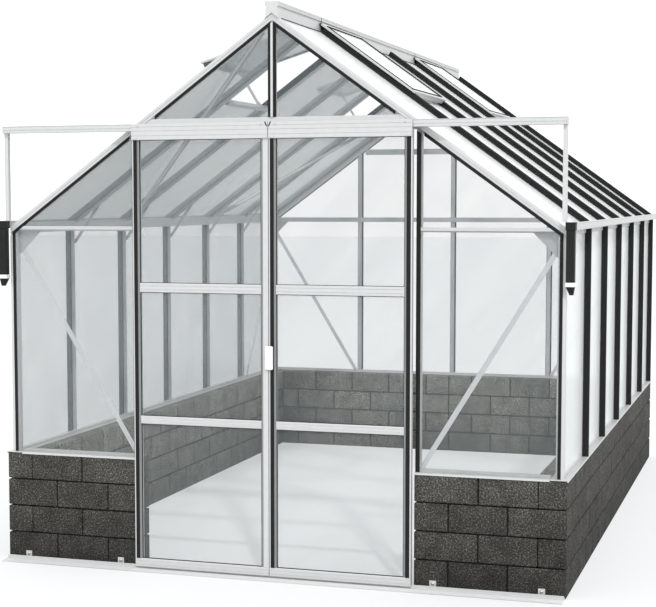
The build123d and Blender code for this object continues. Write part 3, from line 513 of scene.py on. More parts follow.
def pane_group():
    """How a pane fades: from clear, seen face on, to nearly white at a slant as a painted reflection, with
    faint slanting streaks.
    """
    if "Pane fade" in bpy.data.node_groups:
        return bpy.data.node_groups["Pane fade"]
    group, inside, outside = new_group(
        "Pane fade", {"Facing": 0.0, "Clear": (0.3, 0.3, 0.3, 1), "Pale": (0.8, 0.8, 0.8, 1), "Least": 0.08,
                      "Span": 0.85, "Power": 1.5}, {"Color": (0.5, 0.5, 0.5, 1), "Alpha": 1.0})
    given = inside.outputs
    share = spread(group, given["Facing"], 0.74, 0.88, kind="SMOOTHSTEP")
    turn = node(group, "ShaderNodeMapping", vector_type="TEXTURE", Rotation=(0.5, 0.6, 0.7),
                Scale=(1.0, 1.0, 6.0), Vector=spot(group))
    streak = noise(group, turn.outputs[0], Scale=5.0, Detail=3.0)
    least = maths(group, "MULTIPLY", spread(group, streak, 0.35, 0.65, 0.88, 1.12), given["Least"])
    slant = maths(group, "POWER", given["Facing"], given["Power"])
    # The pale colour at a slant is a painted reflection
    feed(group, outside, Color=blend(group, given["Clear"], given["Pale"], share, "MIX"),
         Alpha=maths(group, "MULTIPLY_ADD", slant, given["Span"], least, clamp=True))
    return group


def glass_material(name, clear, pale, least, span, power):
    """A thin pane: nearly clear face on, pale at a slant as a painted reflection, with faint streaks of dust.
    """
    material, tree, shader = base_material(name)
    facing = node(tree, "ShaderNodeLayerWeight").outputs["Facing"]
    fade = node(tree, "ShaderNodeGroup", node_tree=pane_group(), Facing=facing, Clear=(*clear, 1),
                Pale=(*pale, 1), Least=least, Span=span, Power=power).outputs
    feed(tree, shader, Base_Color=fade["Color"], Alpha=fade["Alpha"], Roughness=0.22, IOR=1.5,
         Specular_IOR_Level=0.3)
    return material


# Name, metallic, roughness, tone and relief of a section, and its scale and gloss where they are unusual
SECTIONS = {
    "aluminium": ("Aluminium", 0.35, 0.42, 0.05, 0.15),
    # The inner aluminium is a darker copy of the outer one, painted shade
    "inner": ("Shaded inner aluminium", 0.45, 0.45, 0.10, 0.2),
    "black": ("Black plastic", 0.0, 0.45, 0.25, 0.3, 40.0, 0.16),
    "rubber": ("Rubber", 0.0, 0.6, 0.2, 0.3, 40.0, 0.12),
    "plastic": ("White plastic", 0.0, 0.4, 0.04, 0.1),
    # The strap aluminium is a lighter copy of the outer one, painted light
    "strap": ("Lit strap aluminium", 0.35, 0.4, 0.06, 0.15),
    "bead": ("Shaded glazing bead", 0.2, 0.5, 0.08, 0.2),
    "steel": ("Bolt steel", 0.9, 0.35, 0.15, 0.2, 90.0),
    "joint": ("Joint", 0.0, 0.95, 0.4, 0.8, 200.0),
}
# Name of a pane, and least, span and power of its fade
PANES = {"glass": ("Pane", 0.12, 0.80, 2.9), "roof glass": ("Roof pane", 0.11, 0.80, 2.4)}
BLOCKS = {"block": ("Concrete block",)}


def finish(look):
    """The material of a look, in the colours of the panel, made when it is first asked for."""
    colours = bpy.context.scene.greenhouse_colours
    name, *values = {**SECTIONS, **PANES, **BLOCKS}[look]
    if name in bpy.data.materials:
        return bpy.data.materials[name]
    if look in PANES:
        return glass_material(name, colours.glass, colours.glass_slant_reflection, *values)
    maker = block_material if look in BLOCKS else section_material
    return maker(name, getattr(colours, look), *values)


FINISHES = {
    "aluminium": ("sills", "corner_posts", "front_bars", "front_rails", "track_posts"),
    "inner": ("eaves_beams", "ridge_beam", "back_bars", "back_ties", "vent_sills", "vent_stays", "gussets"),
    "black": ("door_left_rollers", "door_right_rollers"),
    "rubber": ("door_left_seals", "door_right_seals"),
    "glass": ("side_glass", "gable_glass_front", "gable_glass_back", "door_left_glass", "door_right_glass"),
    "roof glass": ("roof_glass", "vent_glass"),
}


class GREENHOUSE_OT_finishes(bpy.types.Operator):
    """Gives every solid that stays visible its finish."""

    bl_idname = "greenhouse.finishes"
    bl_label = "Finishes"

    def execute(self, context):
        for look, nodes in FINISHES.items():
            for label in nodes:
                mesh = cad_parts[label].data
                mesh.materials.clear()
                mesh.materials.append(finish(look))
        return {"FINISHED"}


def courses_of(start, end, first, step, shortest=0.09):
    """Ends of the blocks of one course, with the first joint at a distance from the start."""
    cuts = np.arange(start + first, end - shortest, step)
    ends = np.concatenate([[start], cuts, [end]])
    return np.stack([ends[:-1], ends[1:]], axis=1)


class GREENHOUSE_OT_block_wall(bpy.types.Operator):
    """Builds the block wall: four courses in stretcher bond, with cut edges and joints set back."""

    bl_idname = "greenhouse.block_wall"
    bl_label = "Block wall"

    def execute(self, context):
        sizes = context.scene.greenhouse_sizes
        gap = sizes.joint / 2
        outer, inner = WALL_HIGH[0], WALL_LOW[0]
        thick = outer - inner
        front, back = WALL_LOW[1], WALL_HIGH[1]
        courses, header, stretcher, step = 4, 0.120, 0.249, sizes.block_length
        rise = WALL_TOP / courses
        blocks = []

        def lay(x0, x1, y0, y1, z):
            """One block on the right, between any two places along y, and its twin on the left."""
            y0, y1 = sorted((y0, y1))
            blocks.append(((x0, y0, z[0]), (x1, y1, z[1])))
            blocks.append(((-x1, y0, z[0]), (-x0, y1, z[1])))

        for course in range(courses):
            low = course * rise + (gap if course else 0)
            high = (course + 1) * rise - (gap if course < courses - 1 else 0)
            z = (low, high)
            side_owns = (courses - 1 - course) % 2 == 0
            if side_owns:
                run = courses_of(front, back, stretcher, step)
                for a, b in run[1:-1]:
                    lay(inner, outer, a + gap, b - gap, z)
                for face, way, end in ((front, 1, run[0][1] - gap), (back, -1, run[-1][0] + gap)):
                    lay(outer - header, outer, face, end, z)
                    lay(inner, outer - header, face + way * (thick + gap), end, z)
                start, cut = header, step
            else:
                for a, b in courses_of(front + header, back - header, step, step):
                    lay(inner, outer, a + gap, b - gap, z)
                start, cut = 0.0, stretcher
            for end, face, way in ((outer - DOOR_EDGE, front, 1), (outer, back, -1)):
                split, behind = face + way * header, face + way * thick
                for number, (a, b) in enumerate(courses_of(start, end, cut, step)):
                    x0 = outer - b + (gap if b < end or end == outer else 0)
                    x1 = outer - a - (gap if a else 0)
                    if number or side_owns:
                        lay(x0, x1, face, behind, z)
                    else:
                        lay(x0, x1, face, split, z)
                        lay(x0, inner - gap, split, behind, z)
        lows, highs = (np.array(ends) for ends in zip(*blocks))
        darkest, palest = 0.84, 1.14
        tones = np.repeat(np.random.default_rng(7).uniform(darkest, palest, len(lows)), BOX_POINTS)
        nodes = ("plinth_left", "plinth_right", "plinth_back", "plinth_front_left", "plinth_front_right")
        wall = add_mesh("block_wall", boxes(lows, highs, sizes.block_edge), "block", "blocks", nodes)
        spots = np.empty(3 * len(wall.data.vertices), np.float32)
        wall.data.vertices.foreach_get("co", spots)
        spots = spots.reshape(-1, 3)
        near = 0.0001
        inside = ((np.abs(spots[:, 0]) <= inner + near) & (spots[:, 1] >= front + thick - near)
                  & (spots[:, 1] <= back - thick + near))
        top = spots[:, 2] >= WALL_TOP - near
        # Painted light: the inside faces and the tops get lighter tones than the outer faces
        tones *= np.where(inside, sizes.inside_painted_light, np.where(top, sizes.top_painted_light, 1.0))
        tone = wall.data.attributes.new("tone", "FLOAT", "POINT")
        tone.data.foreach_set("value", tones.astype(np.float32))
        cores = np.array([low_high(name) for name in nodes])
        inset, below, overlap = sizes.joint_depth, 0.003, 0.05
        cores[:, 0] += (inset, inset, 0)
        cores[:, 1] -= (inset, inset, below)
        # The joints of the gables run on into the side walls
        gable_lows, gable_highs = cores[2:, 0, 0], cores[2:, 1, 0]
        gable_lows -= np.where(gable_lows < -DOOR_EDGE - overlap, overlap, 0.0)
        gable_highs += np.where(gable_highs > DOOR_EDGE + overlap, overlap, 0.0)
        add_mesh("wall_joints", boxes(cores[:, 0], cores[:, 1], 0.001), "joint", "blocks")
        return {"FINISHED"}


class GREENHOUSE_OT_slim_bars(bpy.types.Operator):
    """Builds the side posts and rafters as T sections with a screw slot in the web."""

    bl_idname = "greenhouse.slim_bars"
    bl_label = "Side posts and rafters"

    def execute(self, context):
        web = 0.012
        tee = even([(0.002, -GLASS), (0.002, 0), (BAR_HALF, 0), (BAR_HALF, 0.0025), (0.005, 0.003),
                    (0.005, web), (0.0018, web), (0.0018, 0.0095)])
        inside = SIDE - GLASS
        posts = bars(tee, rows(inside, BARS, SILL_TOP), rows(inside, BARS, BAR_TOP), Y, -X)
        foot = (FRAME_D - GLASS * OUT_SLOPE[0]) / OUT_SLOPE[2] + 0.0003
        head = (HALF - RIDGE_WEB / 2 - (GLASS + web) * OUT_SLOPE[0]) / OUT_SLOPE[2]
        rafters = bars(tee, on_roof(BARS, foot, -GLASS), on_roof(BARS, head, -GLASS), Y, -OUT_SLOPE)
        add_mesh("side_post_sections", both(posts), "inner", "frame", ("side_posts",))
        add_mesh("rafter_sections", both(rafters), "inner", "frame", ("rafters",))
        return {"FINISHED"}


class GREENHOUSE_OT_caps(bpy.types.Operator):
    """Builds the black caps outside the bars, with a foot, tapered sides and a ribbed top."""

    bl_idname = "greenhouse.caps"
    bl_label = "Black caps"

    def execute(self, context):
        half, top = CAP_HIGH[1] - CAPS[-1], CAP_HEIGHT
        section = even([(half, 0), (half, 0.0035), (half - 0.0012, 0.005), (half - 0.0016, top - 0.004),
                        (half - 0.0045, top), (0.0035, top), (0.0025, top - 0.0012)])
        walls = bars(section, rows(SIDE, CAPS, SILL_FLAT), rows(SIDE, CAPS, CAP_HIGH[2]), Y, X)
        roof = bars(section, on_roof(CAPS, 0.006, 0), on_roof(CAPS, ROOF_CAP_TOP, 0), Y, OUT_SLOPE)
        add_mesh("wall_cap_sections", both(walls), "black", "black_caps", ("wall_caps",))
        add_mesh("roof_cap_sections", both(roof), "black", "black_caps", ("roof_caps",))
        return {"FINISHED"}


class GREENHOUSE_OT_ridge(bpy.types.Operator):
    """Builds the ridge cap: a splayed foot, a neck, a rolled lip and a shallow channel on top."""

    bl_idname = "greenhouse.ridge"
    bl_label = "Ridge cap"

    def execute(self, context):
        foot = -RIDGE_FOOT * RISE
        section = even([(0.0, 0.0), (RIDGE_FOOT, foot), (RIDGE_FOOT, foot + 0.003), (0.0285, foot + 0.0055),
                        (0.027, 0.021), (0.0255, 0.0225), (0.0255, 0.0262), (0.0292, 0.0280), (0.031, 0.0300),
                        (0.031, 0.0385), (0.0302, 0.0392), (0.0302, 0.0402), (0.031, 0.0410), (0.031, 0.0480),
                        (0.0295, 0.050), (0.013, 0.050), (0.012, 0.0485)])
        cap = bars(section, (0, RIDGE_LOW[1], APEX), (0, RIDGE_HIGH[1], APEX), X, Z)
        add_mesh("ridge_cap_section", cap, "aluminium", "ridge", ("ridge_cap",))
        return {"FINISHED"}


class GREENHOUSE_OT_track(bpy.types.Operator):
    """Builds the door track: a slotted box section with bands and lips on its face, and its end plates."""

    bl_idname = "greenhouse.track"
    bl_label = "Door track"

    def execute(self, context):
        wide, high, wall = TRACK_HIGH[1] - TRACK_LOW[1], TRACK_HIGH[2] - TRACK_LOW[2], 0.0025
        inner = wide - wall
        sunk, line = wide - 0.0018, wide - 0.0005
        section = [(0, 0), (0.026, 0), (0.026, wall), (wall, wall), (wall, high - wall), (inner, high - wall),
                   (inner, wall), (0.038, wall), (0.038, 0), (wide, 0), (wide, 0.0028), (sunk, 0.0034),
                   (sunk, 0.012), (line, 0.0128), (line, 0.0138), (wide, 0.0142), (wide, high - 0.0048),
                   (sunk, high - 0.0044), (sunk, high - 0.0026), (wide, high - 0.0022), (wide, high),
                   (0, high)]
        back, reach, low = TRACK_HIGH[1], TRACK_HIGH[0], TRACK_LOW[2]
        plate, lip = 0.002, 0.001
        rail = bars(section, (-reach + plate, back, low), (reach - plate, back, low), -Y, Z)
        ends = boxes([(x, TRACK_LOW[1] - lip, low - lip) for x in (-reach, reach - plate)],
                     [(x, back, low + high + lip) for x in (-reach + plate, reach)], 0.0006)
        add_mesh("door_track_section", joined([rail, ends]), "aluminium", "track", ("door_track",))
        return {"FINISHED"}


class GREENHOUSE_OT_gutters(bpy.types.Operator):
    """Builds the gutters: an open channel with a rolled outer lip and a closed back end."""

    bl_idname = "greenhouse.gutters"
    bl_label = "Gutters"

    def execute(self, context):
        wide, high, wall = GUTTER_HIGH[0] - HALF, GUTTER_HIGH[2] - GUTTER_LOW[2], 0.0025
        line, back = wide - 0.0008, wide - 0.003
        section = [(0, 0), (wide - 0.004, 0), (wide, 0.004), (wide, 0.0095), (line, 0.0102), (line, 0.0112),
                   (wide, 0.012), (wide, high - 0.0065), (wide + 0.0016, high - 0.0052),
                   (wide + 0.0022, high - 0.0025), (wide + 0.0012, high - 0.0004), (wide - 0.001, high),
                   (back, high - 0.0012), (back, high - 0.006), (wide - 0.0028, 0.005), (wide - 0.0052, wall),
                   (wall, wall), (wall, 0.007), (0, 0.007)]
        low = GUTTER_LOW[2]
        channel = bars(section, (HALF, FRONT, low), (HALF, BACK, low), X, Z)
        end = boxes((HALF + wall, BACK - wall, low + wall), (HALF + wide - wall, BACK, low + high), 0.0005)
        add_mesh("gutter_channels", both(channel, end), "aluminium", "gutter", ("gutters",))
        return {"FINISHED"}


class GREENHOUSE_OT_downpipes(bpy.types.Operator):
    """Builds the outlet boxes, short round-edged pipes, white bands and cut spouts."""

    bl_idname = "greenhouse.downpipes"
    bl_label = "Downpipes"

    def execute(self, context):
        low, drop = GUTTER_LOW[2], 0.232
        top = np.array([HALF + 0.021, FRONT - 0.022, low])
        foot = top - (0, 0, drop)
        half = 0.018
        pipe = rounded(half, half, 0.004)
        outlet, lid = rounded(0.021, 0.022, 0.003), rounded(0.0215, 0.0225, 0.003)
        box_loops = [(outlet * 0.9, 0.0), (outlet, 0.002), (outlet, 0.0285), (lid, 0.029), (lid, 0.0335),
                     (lid * 0.97, 0.034)]
        bore, band = pipe * (0.0155 / half), pipe * (0.021 / half)
        tip = rounded(0.008, 0.008, 0.002) + (0.0045, 0)
        pipe_loops = [(bore, 0.226), (bore, 0.002), (tip * 0.8, -0.032), (tip, -0.034), (pipe * 0.97, -0.001),
                      (pipe, 0.0015), (pipe, 0.2315), (pipe * 0.9, 0.2325)]
        band_loops = [(pipe * 1.01, 0.0), (band, 0.0012), (band, 0.0075), (band * 0.975, 0.0085),
                      (band * 0.975, 0.0095), (band, 0.0105), (band, 0.0168), (pipe * 1.01, 0.018)]
        bodies = both(stacked(box_loops, top, X, Y, Z), stacked(pipe_loops, foot, X, Y, Z))
        add_mesh("downpipe_bodies", bodies, "black", "pipe", ("downpipes",))
        rings = both(stacked(band_loops, foot, X, Y, Z))
        add_mesh("downpipe_band_rings", rings, "plastic", "frame", ("downpipe_bands",))
        return {"FINISHED"}


def vent_place(points, opened):
    """Slope points (y, up, height) in space: on the right as they are, and on the left with the vent first
    turned about its hinge, up' = hinge + du * cos + dh * sin, height' = hinge - du * sin + dh * cos."""
    y, up, height = np.moveaxis(np.asarray(points, float), -1, 0)
    if not opened:
        return on_roof(y, up, height)
    du, dh = up - VENT_TOP, height - VENT_BASE
    up = VENT_TOP + du * np.cos(VENT_OPEN) + dh * np.sin(VENT_OPEN)
    height = VENT_BASE - du * np.sin(VENT_OPEN) + dh * np.cos(VENT_OPEN)
    return on_roof(y, up, height) * (-1, 1, 1)


def slope_bars(profile, start, end, across, opened):
    """A bar whose ends and directions are slope points, set in space as a whole."""
    points, faces = bars(profile, start, end, across, Z)
    return vent_place(points, opened), turned_over(faces) if opened else faces


class GREENHOUSE_OT_vents(bpy.types.Operator):
    """Builds the roof vents: bevelled rails with a lip and a fin, black gaskets and hinge beads."""

    bl_idname = "greenhouse.vents"
    bl_label = "Roof vents"

    def execute(self, context):
        half = 0.011
        rail = [(-half, 0.0), (half, 0.0), (half, 0.0072), (0.0095, 0.0085), (-0.009, 0.010), (-half, 0.0085)]
        gasket = [(-0.0016, -0.003), (0.0016, -0.003), (0.0016, 0.0078), (-0.0016, 0.0078)]
        lip = [(-0.010, -0.014), (-0.006, -0.018), (0.001, -0.0185), (0.0045, -0.0145), (0.0045, -0.0125),
               (0.0005, -0.0165), (-0.005, -0.0165), (-0.0085, -0.013), (-0.0085, 0.0), (-0.010, 0.0)]
        fin = [(-half, -0.020), (0.009, -0.020), (half, -0.017), (half, 0.0), (-half, 0.0)]
        angle = np.linspace(0, 2 * np.pi, 12, endpoint=False)
        bead = 0.0045 * np.stack([np.cos(angle), np.sin(angle)], axis=1)
        along, upward = X, Y
        low, high, base, level = VENT_LOW, VENT_TOP, VENT_BASE, VENT_BASE + 0.005
        bottom, wide, seat = low + half, 2 * half, 2 * half + 0.0016
        rails, gaskets, beads = [], [], []
        for opened, bay in product((False, True), VENT_BAYS):
            near, far = FRONT + BAY * bay - VENT_OVER, FRONT + BAY * (bay + 1) + VENT_OVER
            peg = FRONT + BAY * (bay + 1) - 0.120
            rails += [slope_bars(profile, start, end, across, opened) for profile, start, end, across in (
                (rail, (near, bottom, base), (far, bottom, base), upward),
                (rail, (near, high - half, base), (far, high - half, base), -upward),
                (rail, (near + half, low + wide, base), (near + half, high - wide, base), along),
                (rail, (far - half, low + wide, base), (far - half, high - wide, base), -along),
                (lip, (near + 0.03, bottom, base), (far - 0.03, bottom, base), upward),
                (fin, (peg, bottom, base), (peg + 0.003, bottom, base), upward))]
            foot, head, left, right = low + wide, high - wide, near + wide, far - wide
            for y in (near + seat, far - seat):
                gaskets.append(slope_bars(gasket, (y, foot, level), (y, head, level), along, opened))
            for up in (low + seat, high - seat):
                gaskets.append(slope_bars(gasket, (left, up, level), (right, up, level), upward, opened))
            start, end = ((y, high + 0.0035, base + 0.002) for y in (near, far))
            beads.append(slope_bars(bead, start, end, upward, opened))
        add_mesh("vent_rails", joined(rails), "aluminium", "frame", ("vent_frames",))
        add_mesh("vent_gaskets", joined(gaskets), "rubber", "black_seals")
        add_mesh("vent_hinges", joined(beads), "rubber", "black_seals")
        return {"FINISHED"}


def grooves(middles, mouth, floor, depth, face=0.0):
    """Grooves across the face of an outline, or ridges on it, from half their widths at the face and at the
    floor: middle -/+ width, face + depth."""
    return [(middle + shift, face + back) for middle in middles
            for shift, back in ((-mouth, 0), (-floor, depth), (floor, depth), (mouth, 0))]


def rail_section(height, slot=False):
    """A door rail seen from its end, as (up, back): bevelled edges and two fine grooves in its face, and in
    the bottom rail a slot from below for the threshold's guide."""
    depth, edge = LEAF_DEPTH, 0.0025
    lines = grooves((height * 0.3, height * 0.7), 0.0014, 0.0008, 0.0016)
    notch = [(0, 0.0185), (0.018, 0.0185), (0.018, 0.0095), (0, 0.0095)] if slot else []
    return [(0, edge), (edge, 0), *lines, (height - edge, 0), (height, edge), (height, depth - edge),
            (height - edge, depth), (edge, depth), (0, depth - edge), *notch]


class GREENHOUSE_OT_doors(bpy.types.Operator):
    """Builds both leaves: grooved stiles and rails, the fascia with its lines, studs, beads and gaskets."""

    bl_idname = "greenhouse.doors"
    bl_label = "Door leaves"

    def execute(self, context):
        inner, outer, face = LEAF_LOW[0], LEAF_HIGH[0], LEAF_LOW[1]
        front = LEAF_HIGH[1] - LEAF_DEPTH
        foot, head = LEAF_LOW[2], TRACK_LOW[2] - 0.007
        sash_low, sash_high = PANE_LOW[2], PANE_HIGH[2]
        left, right = PANE_LOW[0], PANE_HIGH[0]
        stile = [(0, 0.0008), (0.0008, 0), (0.0236, 0), (0.0242, 0.0006), (0.0242, 0.003), (0.033, 0.003),
                 (0.033, 0.0255), (0.0305, LEAF_DEPTH), (0.0008, LEAF_DEPTH), (0, 0.0272)]
        # A dark bead over the inner band of the stile, painted shade
        bead = [(0.0242, 0.003), (0.0242, 0.0016), (0.0315, 0.0016), (0.033, 0.003)]

        def upright(profile, top):
            """The pair of upright bars of a leaf, from the foot of its lowest pane."""
            sides = ((outer, -X), (inner, X))
            return [bars(profile, (x, front, sash_low), (x, front, top), way, Y) for x, way in sides]

        def rail(profile, near, far, y, z):
            """One level bar of a leaf."""
            return bars(profile, (near, y, z), (far, y, z), Z, Y)

        parts = upright(stile, head)
        parts.append(rail(rail_section(sash_low - foot, slot=True), inner, outer, front, foot))
        low_top, mid_top = LOW_RAIL_Z + LOW_RAIL_H, MID_RAIL_Z + MID_RAIL_H
        for low, high in ((LOW_RAIL_Z, low_top), (MID_RAIL_Z, mid_top), (sash_high, head)):
            parts.append(rail(rail_section(high - low), left, right, front, low))
        tall, lap, thick, edge = FASCIA_HIGH - sash_high, head - sash_high, 0.005, 0.0012
        lines = grooves((tall * 0.25, tall * 0.55, tall * 0.80), 0.0011, 0.0003, 0.0013)
        fascia = [(0, edge), (edge, 0), *lines, (tall - edge, 0), (tall, edge), (tall, thick), (lap, thick),
                  (lap, front - face), (0, front - face)]
        parts.append(rail(fascia, inner, outer, face, sash_high))
        lows, highs = [], []
        # Black gaskets round the panes: real seals, which also paint the shade line between frame and pane
        strip, near, far = 0.0022, front + 0.004, front + 0.012
        for low, high in ((sash_low, LOW_RAIL_Z), (low_top, MID_RAIL_Z), (mid_top, sash_high)):
            lows.append(rows((left, right - strip, left, left), near, (low, low, low, high - strip)))
            highs.append(rows((left + strip, right, right, right), far, (high, high, low + strip, high)))
        gaskets = boxes(lows, highs, 0.0004)
        studs = turned([(0.0048, 0), (0.0048, 0.0008), (0.0036, 0.0022), (0.0012, 0.0028)],
                       rows((inner + 0.03, outer - 0.03), face, FASCIA_HIGH - 0.012), -Y, 14)
        parts.append(boxes(rows((inner + 0.004, outer - 0.026), face - 0.0012, sash_high + 0.004),
                           rows((inner + 0.026, outer - 0.004), face + 0.001, sash_high + 0.016), 0.0005))
        pieces = (("sections", joined(parts), "aluminium", "door_frame"),
                  ("beads", joined(upright(bead, sash_high)), "bead", "door_frame"),
                  ("gaskets", gaskets, "rubber", "black_seals"),
                  ("studs", studs, "steel", "fittings"))
        for side in ("right", "left"):
            body = "door_" + side
            for label, part, look, slot in pieces:
                nodes = (body + "_frame",) if label == "sections" else ()
                part = mirrored(part) if side == "left" else part
                add_mesh(body + "_" + label, part, look, slot, nodes, body)
        return {"FINISHED"}


class GREENHOUSE_OT_handle(bpy.types.Operator):
    """Builds the pull plate: a rounded plate with a shallow hollow, on a foot."""

    bl_idname = "greenhouse.handle"
    bl_label = "Handle"

    def execute(self, context):
        centre = (HANDLE_LOW + HANDLE_HIGH) / 2
        wide, tall = (HANDLE_HIGH - HANDLE_LOW)[[0, 2]] / 2
        seat = HANDLE_LOW[1] + 0.006
        # How far each outline lies inside the plate's, across and up, its corner radius and its height
        steps = ((0, 0, 0.006, 0.0), (0, 0, 0.006, 0.0036), (0.0012, 0.0012, 0.0055, 0.0053),
                 (0.003, 0.003, 0.005, 0.006), (0.0065, 0.008, 0.004, 0.006), (0.0078, 0.0095, 0.003, 0.0046))
        loops = [(rounded(wide - across, tall - up, radius), height) for across, up, radius, height in steps]
        plate = stacked(loops, (centre[0], seat, centre[2]), X, Z, -Y)
        foot = boxes((HANDLE_LOW[0], seat, HANDLE_LOW[2] + 0.004),
                     (HANDLE_LOW[0] + 0.012, HANDLE_HIGH[1], HANDLE_HIGH[2] - 0.004), 0.001)
        handle = joined([plate, foot])
        add_mesh("handle_plate", handle, "plastic", "handle", ("door_left_handle",), "door_left")
        return {"FINISHED"}


STUD = [(0.0062, 0.0), (0.0062, 0.0016), (0.0048, 0.0038), (0.0018, 0.0048)]


class GREENHOUSE_OT_braces(bpy.types.Operator):
    """Builds the flat braces and knee braces with round ends, and the bolts of these and the gussets."""

    bl_idname = "greenhouse.braces"
    bl_label = "Braces and bolts"

    def execute(self, context):
        thick, width, fold_depth, clear = 0.003, 0.022, 0.015, 0.060
        knee_width, knee_reach, knee_drop = 0.016, 0.150, 0.092
        radius = width / 2
        near_y, far_y = FRONT + FRAME_D, BACK - FRAME_D
        foot, head = SILL_FLAT + 0.007, EAVES - clear
        starts = [(BAY + width, near_y, foot), (BAY + width, far_y, foot),
                  (HALF - FRAME_D, FRONT + 5 * BAY, foot)]
        ends = [(SIDE - FRAME_D / 2, near_y, head), (SIDE - FRAME_D / 2, far_y, head),
                (HALF - FRAME_D, BACK - FRAME_D / 2, head - 0.080)]
        normals = [Y, -Y, -X]
        top, level = (HALF - RIDGE_WEB / 2) / OUT_SLOPE[2] - clear, -0.016
        for near, far in ((2 * BAY, FRAME_D + radius), (4 * BAY, LENGTH - FRAME_D - radius)):
            starts.append(on_roof(FRONT + near, clear, level))
            ends.append(on_roof(FRONT + far, top, level))
            normals.append(-OUT_SLOPE)
        starts, ends, normals = np.array(starts), np.array(ends), np.array(normals)
        flat = [straps(starts, ends, normals, width, thick)]
        # Those of the roof have folded edges, which end short of the round tips
        for start, end, normal, along in list(zip(starts, ends, normals, unit(ends - starts)))[3:]:
            inset = along * 0.030
            for edge in (radius, -radius):
                lip = edge - np.sign(edge) * thick
                fold = [(lip, 0.0), (edge, 0.0), (edge, fold_depth), (lip, fold_depth)]
                flat.append(bars(fold, start + inset, end - inset, np.cross(normal, along), normal))
        add_mesh("brace_straps", both(*flat), "strap", "fittings", ("braces",))
        way = np.where(BARS < (FRONT + BACK) / 2 + BAR_HALF, 1.0, -1.0)
        face = BARS + way * BAR_HALF
        knee_starts = rows(HALF - FRAME_D / 2, face, EAVES - knee_drop)
        knee_ends = rows(HALF - knee_reach, face, under(HALF - knee_reach, 0.012))
        knee_normals = way[:, None] * Y
        knees = straps(knee_starts, knee_ends, knee_normals, knee_width, thick)
        add_mesh("knee_straps", both(knees), "inner", "fittings", ("knee_braces",))
        places, axes = [], []
        for first, last, normal, wide in ((starts, ends, normals, width),
                                          (knee_starts, knee_ends, knee_normals, knee_width)):
            inset = unit(last - first) * wide / 2
            places += [first + inset + normal * thick, last - inset + normal * thick]
            axes += [normal, normal]
        edge, far = 0.014, 0.080
        corner = np.array([HALF - FRAME_D, 0, GUSSET_TOP])
        holes = corner - [(edge, 0, edge), (edge, 0, far), (far, 0, edge)]
        places += [holes + (0, near_y, 0), holes + (0, far_y, 0)]
        axes.append(np.repeat([Y, -Y], len(holes), axis=0))
        bolts = turned(STUD, np.vstack(places), np.vstack(axes), 10)
        add_mesh("frame_bolts", both(bolts), "steel", "fittings")
        return {"FINISHED"}


class GREENHOUSE_OT_threshold(bpy.types.Operator):
    """Builds the threshold with its guide rib and six foot ridges, and the clips with their screws."""

    bl_idname = "greenhouse.threshold"
    bl_label = "Threshold and clips"

    def execute(self, context):
        back, reach = STEP_HIGH[1], STEP_HIGH[0]
        thick, thin, ramp, deep = 0.005, 0.002, 0.038, 0.095
        section = [(0, 0), (0, 0.008), (0.0042, 0.008), (0.005, 0.0072), (0.005, thick), (0.0225, thick),
                   (0.0225, 0.0186), (0.0229, 0.019), (0.0251, 0.019), (0.0255, 0.0186), (0.0255, thick),
                   (ramp, thick)]
        for place in np.arange(0.045, 0.088, 0.008):
            level = thick - (place - ramp) / (deep - ramp) * (thick - thin)
            section += grooves([place], 0.0016, 0.0008, 0.0012, level)
        section += [(deep, thin), (deep, 0)]
        plate = bars(section, (-reach, back, 0), (reach, back, 0), -Y, Z)
        add_mesh("threshold_section", plate, "aluminium", "threshold", ("threshold",))
        low, high, half = CLIP_LOW, CLIP_HIGH, 0.015
        middles = np.array([high[0] - half, DOOR_EDGE + 0.084])
        lows = [rows(middles - half, low[1], low[2]), rows(middles - half, low[1] - 0.004, low[2])]
        highs = [rows(middles + half, high[1], high[2]), rows(middles + half, low[1], low[2] + 0.002)]
        heads = turned([(0.0075, 0), (0.0075, 0.001), (0.0062, 0.0032), (0.0035, 0.0046), (0.001, 0.005)],
                       rows(middles, low[1], (low[2] + high[2]) / 2 + 0.002), -Y, 16)
        add_mesh("clip_plates", both(boxes(lows, highs, 0.0006)), "aluminium", "fittings", ("clips",))
        add_mesh("clip_screws", both(heads), "steel", "fittings")
        return {"FINISHED"}


class GREENHOUSE_OT_verges(bpy.types.Operator):
    """Builds the bars along the gable slopes, with a groove between the two bands of their face."""

    bl_idname = "greenhouse.verges"
    bl_label = "Verge bars"

    def execute(self, context):
        section = np.array([(0, 0.0008), (0.0008, 0), (0.0120, 0), (0.0126, 0.0022), (0.0142, 0.0022),
                            (0.0146, 0.0010), (0.0242, 0.0010), (VERGE_LIP, 0.0016), (VERGE_LIP, 0.004),
                            (FRAME_D, 0.004), (FRAME_D, FRAME_D), (0, FRAME_D)])
        slant = -section[:, 0] * RISE
        slopes = [bars(section, (HALF, y, EAVES), (0, y, APEX), -OUT_SLOPE, way, slant, slant - 0.00025)
                  for y, way in ((FRONT, Y), (BACK, -Y))]
        add_mesh("verge_sections", both(*slopes), "aluminium", "frame", ("verge_bars",))
        return {"FINISHED"}


def strip_section(width):
    """A black strip seen from its end, as (across, out), with rounded shoulders."""
    return np.array([(0, 0), (width, 0), (width - 0.0004, 0.0026), (width - 0.003, 0.0038), (0.003, 0.0038),
                     (0.0004, 0.0026)])


def upright_strip(x, way, foot, y, out, width=STRIP):
    """A strip beside an upright, from a foot to the underside of the strip along the slope."""
    section = strip_section(width)
    top = under(x, VERGE_LIP + STRIP)
    return bars(section, (x, y, foot), (x, y, top), way * X, out, 0.0, -way * section[:, 0] * RISE)


def sloping_strip(near, far, y, out):
    """A strip along the slope, with upright ends."""
    section = strip_section(STRIP)
    slant = section[:, 0] * RISE
    start, end = ((x, y, under(x, VERGE_LIP)) for x in (near, far))
    return bars(section, start, end, -OUT_SLOPE, out, slant, slant)


